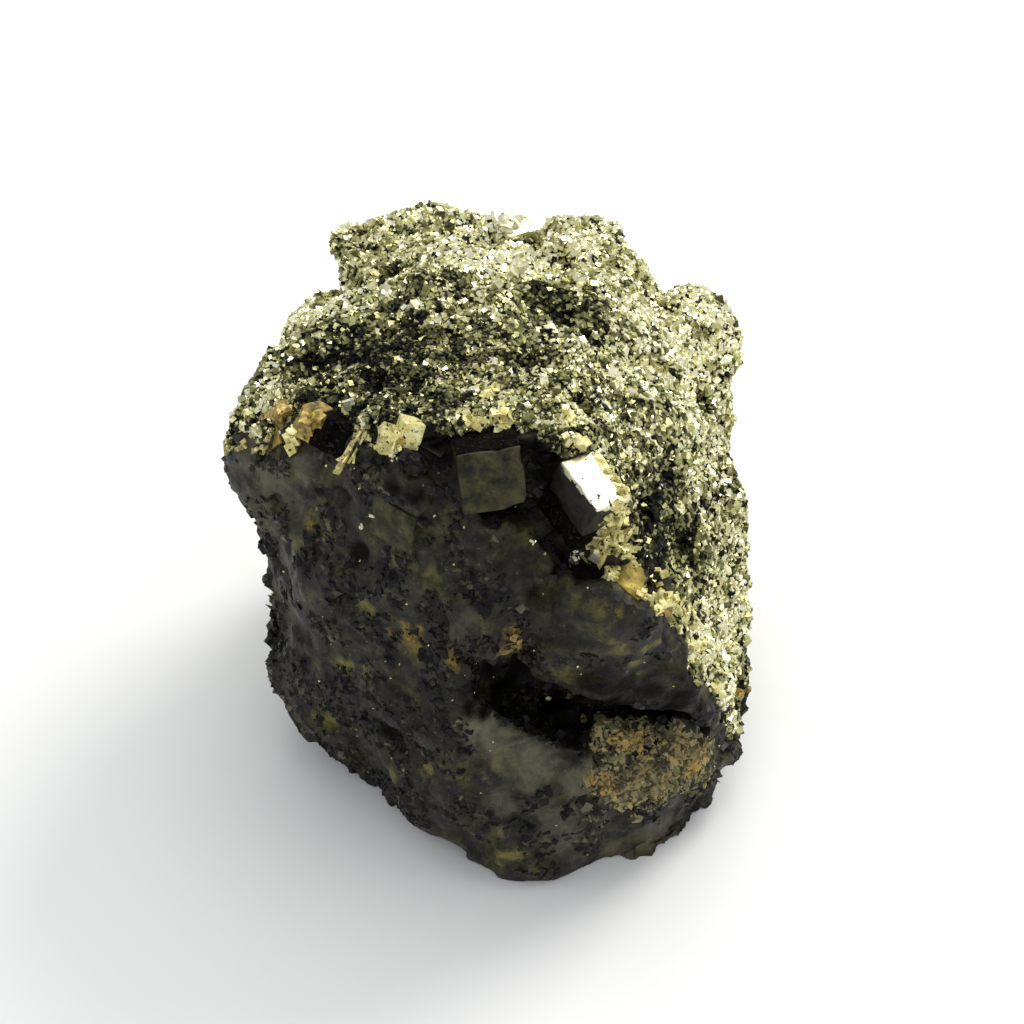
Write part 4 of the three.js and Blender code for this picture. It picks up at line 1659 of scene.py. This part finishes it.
@dataclass
class FreshPyrite:
    """Loose-grown bright crystals on the crust, and thin splinters of brass along the ridge.

    Lengths are in millimetres, and ranges are shares of a length.
    """

    gathering: float = 0.7
    speck_range: tuple[float, float] = (0.7, 1.3)
    speck_edges: tuple[float, float] = (0.6, 1.4)
    speck_rise: float = 0.1
    splinter: Triple = (0.09, 0.2, 1.0)
    splinter_range: tuple[float, float] = (0.6, 1.2)
    splinter_rise: float = 0.15
    upright: float = 0.4
    leaning: float = 0.9
    spread: float = 0.3
    fin: float = 0.9
    fin_rise: float = 0.3
    sparkles: int = 110
    sparkle_edge: float = 0.07
    sparkle_range: tuple[float, float] = (0.5, 1.8)
    bare_limit: float = 0.1
    sparkle_foot: float = 1.0

    def build(
        self, body: bpy.types.Object, crystals: list[bpy.types.Object],
    ) -> list[tuple[Face, bpy.types.Object]]:
        """Models the specks, the splinters and the dark front's sparkles.

        Args:
            body: The lump's body.
            crystals: The larger crystals of the ridge.

        Returns:
            The pieces, each with its kind of face.
        """
        draw = np.random.default_rng(SEED + 2)
        tree = surface_tree([body, *crystals])
        pieces = [(face, self.specks(face, tree, draw)) for face in SPECKS]
        pieces.append((Face.BRASS, self.splinters(tree, draw)))
        pieces.append((Face.PAINTED_GLINT_CREAM, self.sparkle(body, draw)))
        return pieces

    def specks(self, face: Face, tree: BVHTree, draw: np.random.Generator) -> bpy.types.Object:
        """Models the larger loose-grown crystals of one kind.

        Args:
            face: Their kind of face.
            tree: The faces of the body and the larger crystals.
            draw: Source of random numbers.

        Returns:
            The crystals, joined in one piece.
        """
        pixels, edge = [], []
        for cluster in SPECKS[face]:
            strays = draw.normal(0, cluster.reach * self.gathering, (cluster.count, 2))
            pixels.extend(np.array(cluster.pixel) + strays)
            edge.extend(cluster.edge * MM * draw.uniform(*self.speck_range, cluster.count))
        hits = [VIEW.hit(tuple(pixel), tree) for pixel in pixels]
        places, outward = (np.array(found) for found in zip(*hits))
        edges = np.array(edge)[:, None] * draw.uniform(*self.speck_edges, (len(edge), 3))
        middles = places + outward * edges[:, :1] * self.speck_rise
        name = f"specks_{face.name.lower()}"
        return crystal_heap(name, middles, random_turns(len(edge), draw), edges, draw)

    def sparkle(self, body: bpy.types.Object, draw: np.random.Generator) -> bpy.types.Object:
        """Models painted glints on the dark front: tiny pale cream crystals that show bright from every side.

        Args:
            body: The lump's body, with its cap attribute.
            draw: Source of random numbers.

        Returns:
            The facets, joined in one piece.
        """
        points = points_of(body)
        bare = (read_attribute(body, "cap") < self.bare_limit) & (points[:, 2] > self.sparkle_foot * MM)
        middles = points[draw.choice(np.flatnonzero(bare), self.sparkles, replace=False)]
        edges = self.sparkle_edge * MM * draw.uniform(*self.sparkle_range, (self.sparkles, 3))
        return crystal_heap("front_sparkles", middles, random_turns(self.sparkles, draw), edges, draw)

    def splinters(self, tree: BVHTree, draw: np.random.Generator) -> bpy.types.Object:
        """Models the long blades and the thin splinters, each with an end in the body.

        Args:
            tree: The faces of the body and the larger crystals.
            draw: Source of random numbers.

        Returns:
            The blades, joined in one piece.
        """
        middles, turns, edges = [], [], []
        for start, end, width in BLADES:
            (first, outward), (last, _) = VIEW.hit(start, tree), VIEW.hit(end, tree)
            length = unit(np.array(last - first))
            across = unit(np.cross(length, np.array(outward)))
            rise = np.array(outward) * (self.fin_rise - self.fin / 2) * MM
            middles.append(np.array(first + last) / 2 + rise)
            turns.append(np.stack([np.cross(across, length), across, length], 1))
            edges.append(np.array([self.fin * MM, width * MM, (last - first).length]))
        for spot in SPLINTERS:
            reach = spot.radius * VIEW.focal_pixels / VIEW.distance
            lean = draw.normal(0, 1, 3)
            for _ in range(int(spot.strength)):
                pixel = tuple(np.array(spot.pixel) + draw.normal(0, reach / 2, 2))
                place, outward = VIEW.hit(pixel, tree)
                out = np.array(outward)
                flat = unit(lean - out * (lean @ out))
                length = unit(out * self.upright + flat * self.leaning + draw.normal(0, self.spread, 3))
                width = unit(np.cross(length, draw.normal(0, 1, 3)))
                size = np.array(self.splinter) * draw.uniform(*self.splinter_range, 3) * MM
                middles.append(np.array(place) + length * size[2] * self.splinter_rise)
                turns.append(np.stack([np.cross(width, length), width, length], 1))
                edges.append(size)
        return crystal_heap("brass_splinters", np.array(middles), np.array(turns), np.array(edges), draw)

    def dress(self, pieces: list[tuple[Face, bpy.types.Object]], finishes: Finishes) -> None:
        """Gives the pieces their finish and their place in the part."""
        for face, piece in pieces:
            register(piece, finishes[face])


# The studio

@dataclass(frozen=True)
class Lamp:
    """A soft box: its place and size in metres, its power in watts and its colour."""

    name: str
    place: Triple
    size: float
    power: float
    colour: str


@dataclass
class Studio:
    """A pale floor, a soft key from behind and to the right, and an even room.

    Lengths are in metres. The floor lies a hair below the lump's base.
    """

    floor_size: float = 3.0
    floor_height: float = -0.00002
    floor_colour: str = "#f4f4f3"
    floor_roughness: float = 0.9
    aim: Triple = (0.0, 0.0, 0.015)
    room_colour: str = "#f2f5f8"
    room_strength: float = 0.72
    lamps: tuple[Lamp, ...] = (
        Lamp("key", (0.275, 0.275, 0.39), 0.2, 1.45, "#fffcf4"),
        Lamp("side", (0.42, 0.0, 0.3), 0.3, 0.15, "#ffffff"),
        Lamp("top", (0.02, 0.16, 0.5), 0.35, 0.8, "#fffefa"),
    )

    def build(self) -> None:
        """Makes the floor, the lamps and the room's light."""
        bpy.ops.object.select_all(action="DESELECT")
        bpy.ops.mesh.primitive_plane_add(size=self.floor_size, location=(0, 0, self.floor_height))
        floor = bpy.context.active_object
        floor.name = "studio_floor"
        floor.data.materials.append(self.floor_finish())
        for lamp in self.lamps:
            self.light(lamp)
        world = bpy.data.worlds.new("studio_room")
        world.use_nodes = True
        room = world.node_tree.nodes["Background"]
        room.inputs["Color"].default_value = linear(self.room_colour)
        room.inputs["Strength"].default_value = self.room_strength
        bpy.context.scene.world = world
        bpy.context.scene.view_settings.view_transform = "Standard"

    def floor_finish(self) -> bpy.types.Material:
        """Builds the floor's white paper, matt, so that it shows shadows and no reflection."""
        made, _, shader = start_material("white_paper")
        shader.inputs["Base Color"].default_value = linear(self.floor_colour)
        shader.inputs["Roughness"].default_value = self.floor_roughness
        return made

    def light(self, lamp: Lamp) -> None:
        """Makes one soft box that points at the lump."""
        data = bpy.data.lights.new(lamp.name, "AREA")
        data.shape = "DISK"
        data.size = lamp.size
        data.energy = lamp.power
        data.color = linear(lamp.colour)[:3]
        light = bpy.data.objects.new(lamp.name, data)
        bpy.context.scene.collection.objects.link(light)
        light.location = lamp.place
        aim = Vector(self.aim) - Vector(lamp.place)
        light.rotation_euler = aim.to_track_quat("-Z", "Y").to_euler()


def main() -> None:
    """Builds the lump's pieces and the studio, in order."""
    logging.basicConfig(level=logging.INFO, format="%(name)s: %(message)s")
    VIEW.build()
    lump = LumpBody()
    body = lump.build()
    lump.dress(body)
    crusts = (
        GrainCrust(),
        GrainCrust(
            region="rust", finish=RUSTY_GRAINS, spacing=0.22, fineness=1.0, edge_middle=0.28, sunk=0.45,
            border=0.1, tone=0.62, scatter=0.13,
        ),
        GrainCrust(
            region="front", finish=SOOTY_GRAINS, spacing=0.4, fineness=1.0, edge_middle=0.3, edge_spread=0.5,
            sunk=0.4, border=0.15,
        ),
    )
    for crust in crusts:
        crust.dress(crust.build(body))
    faces = {face: face.value.material() for face in Face}
    ridge = RidgeCrystals()
    crystals = ridge.build()
    ridge.dress(crystals, faces)
    fresh = FreshPyrite()
    fresh.dress(fresh.build(body, list(crystals.values())), faces)
    Studio().build()


if __name__ == "__main__":
    main()
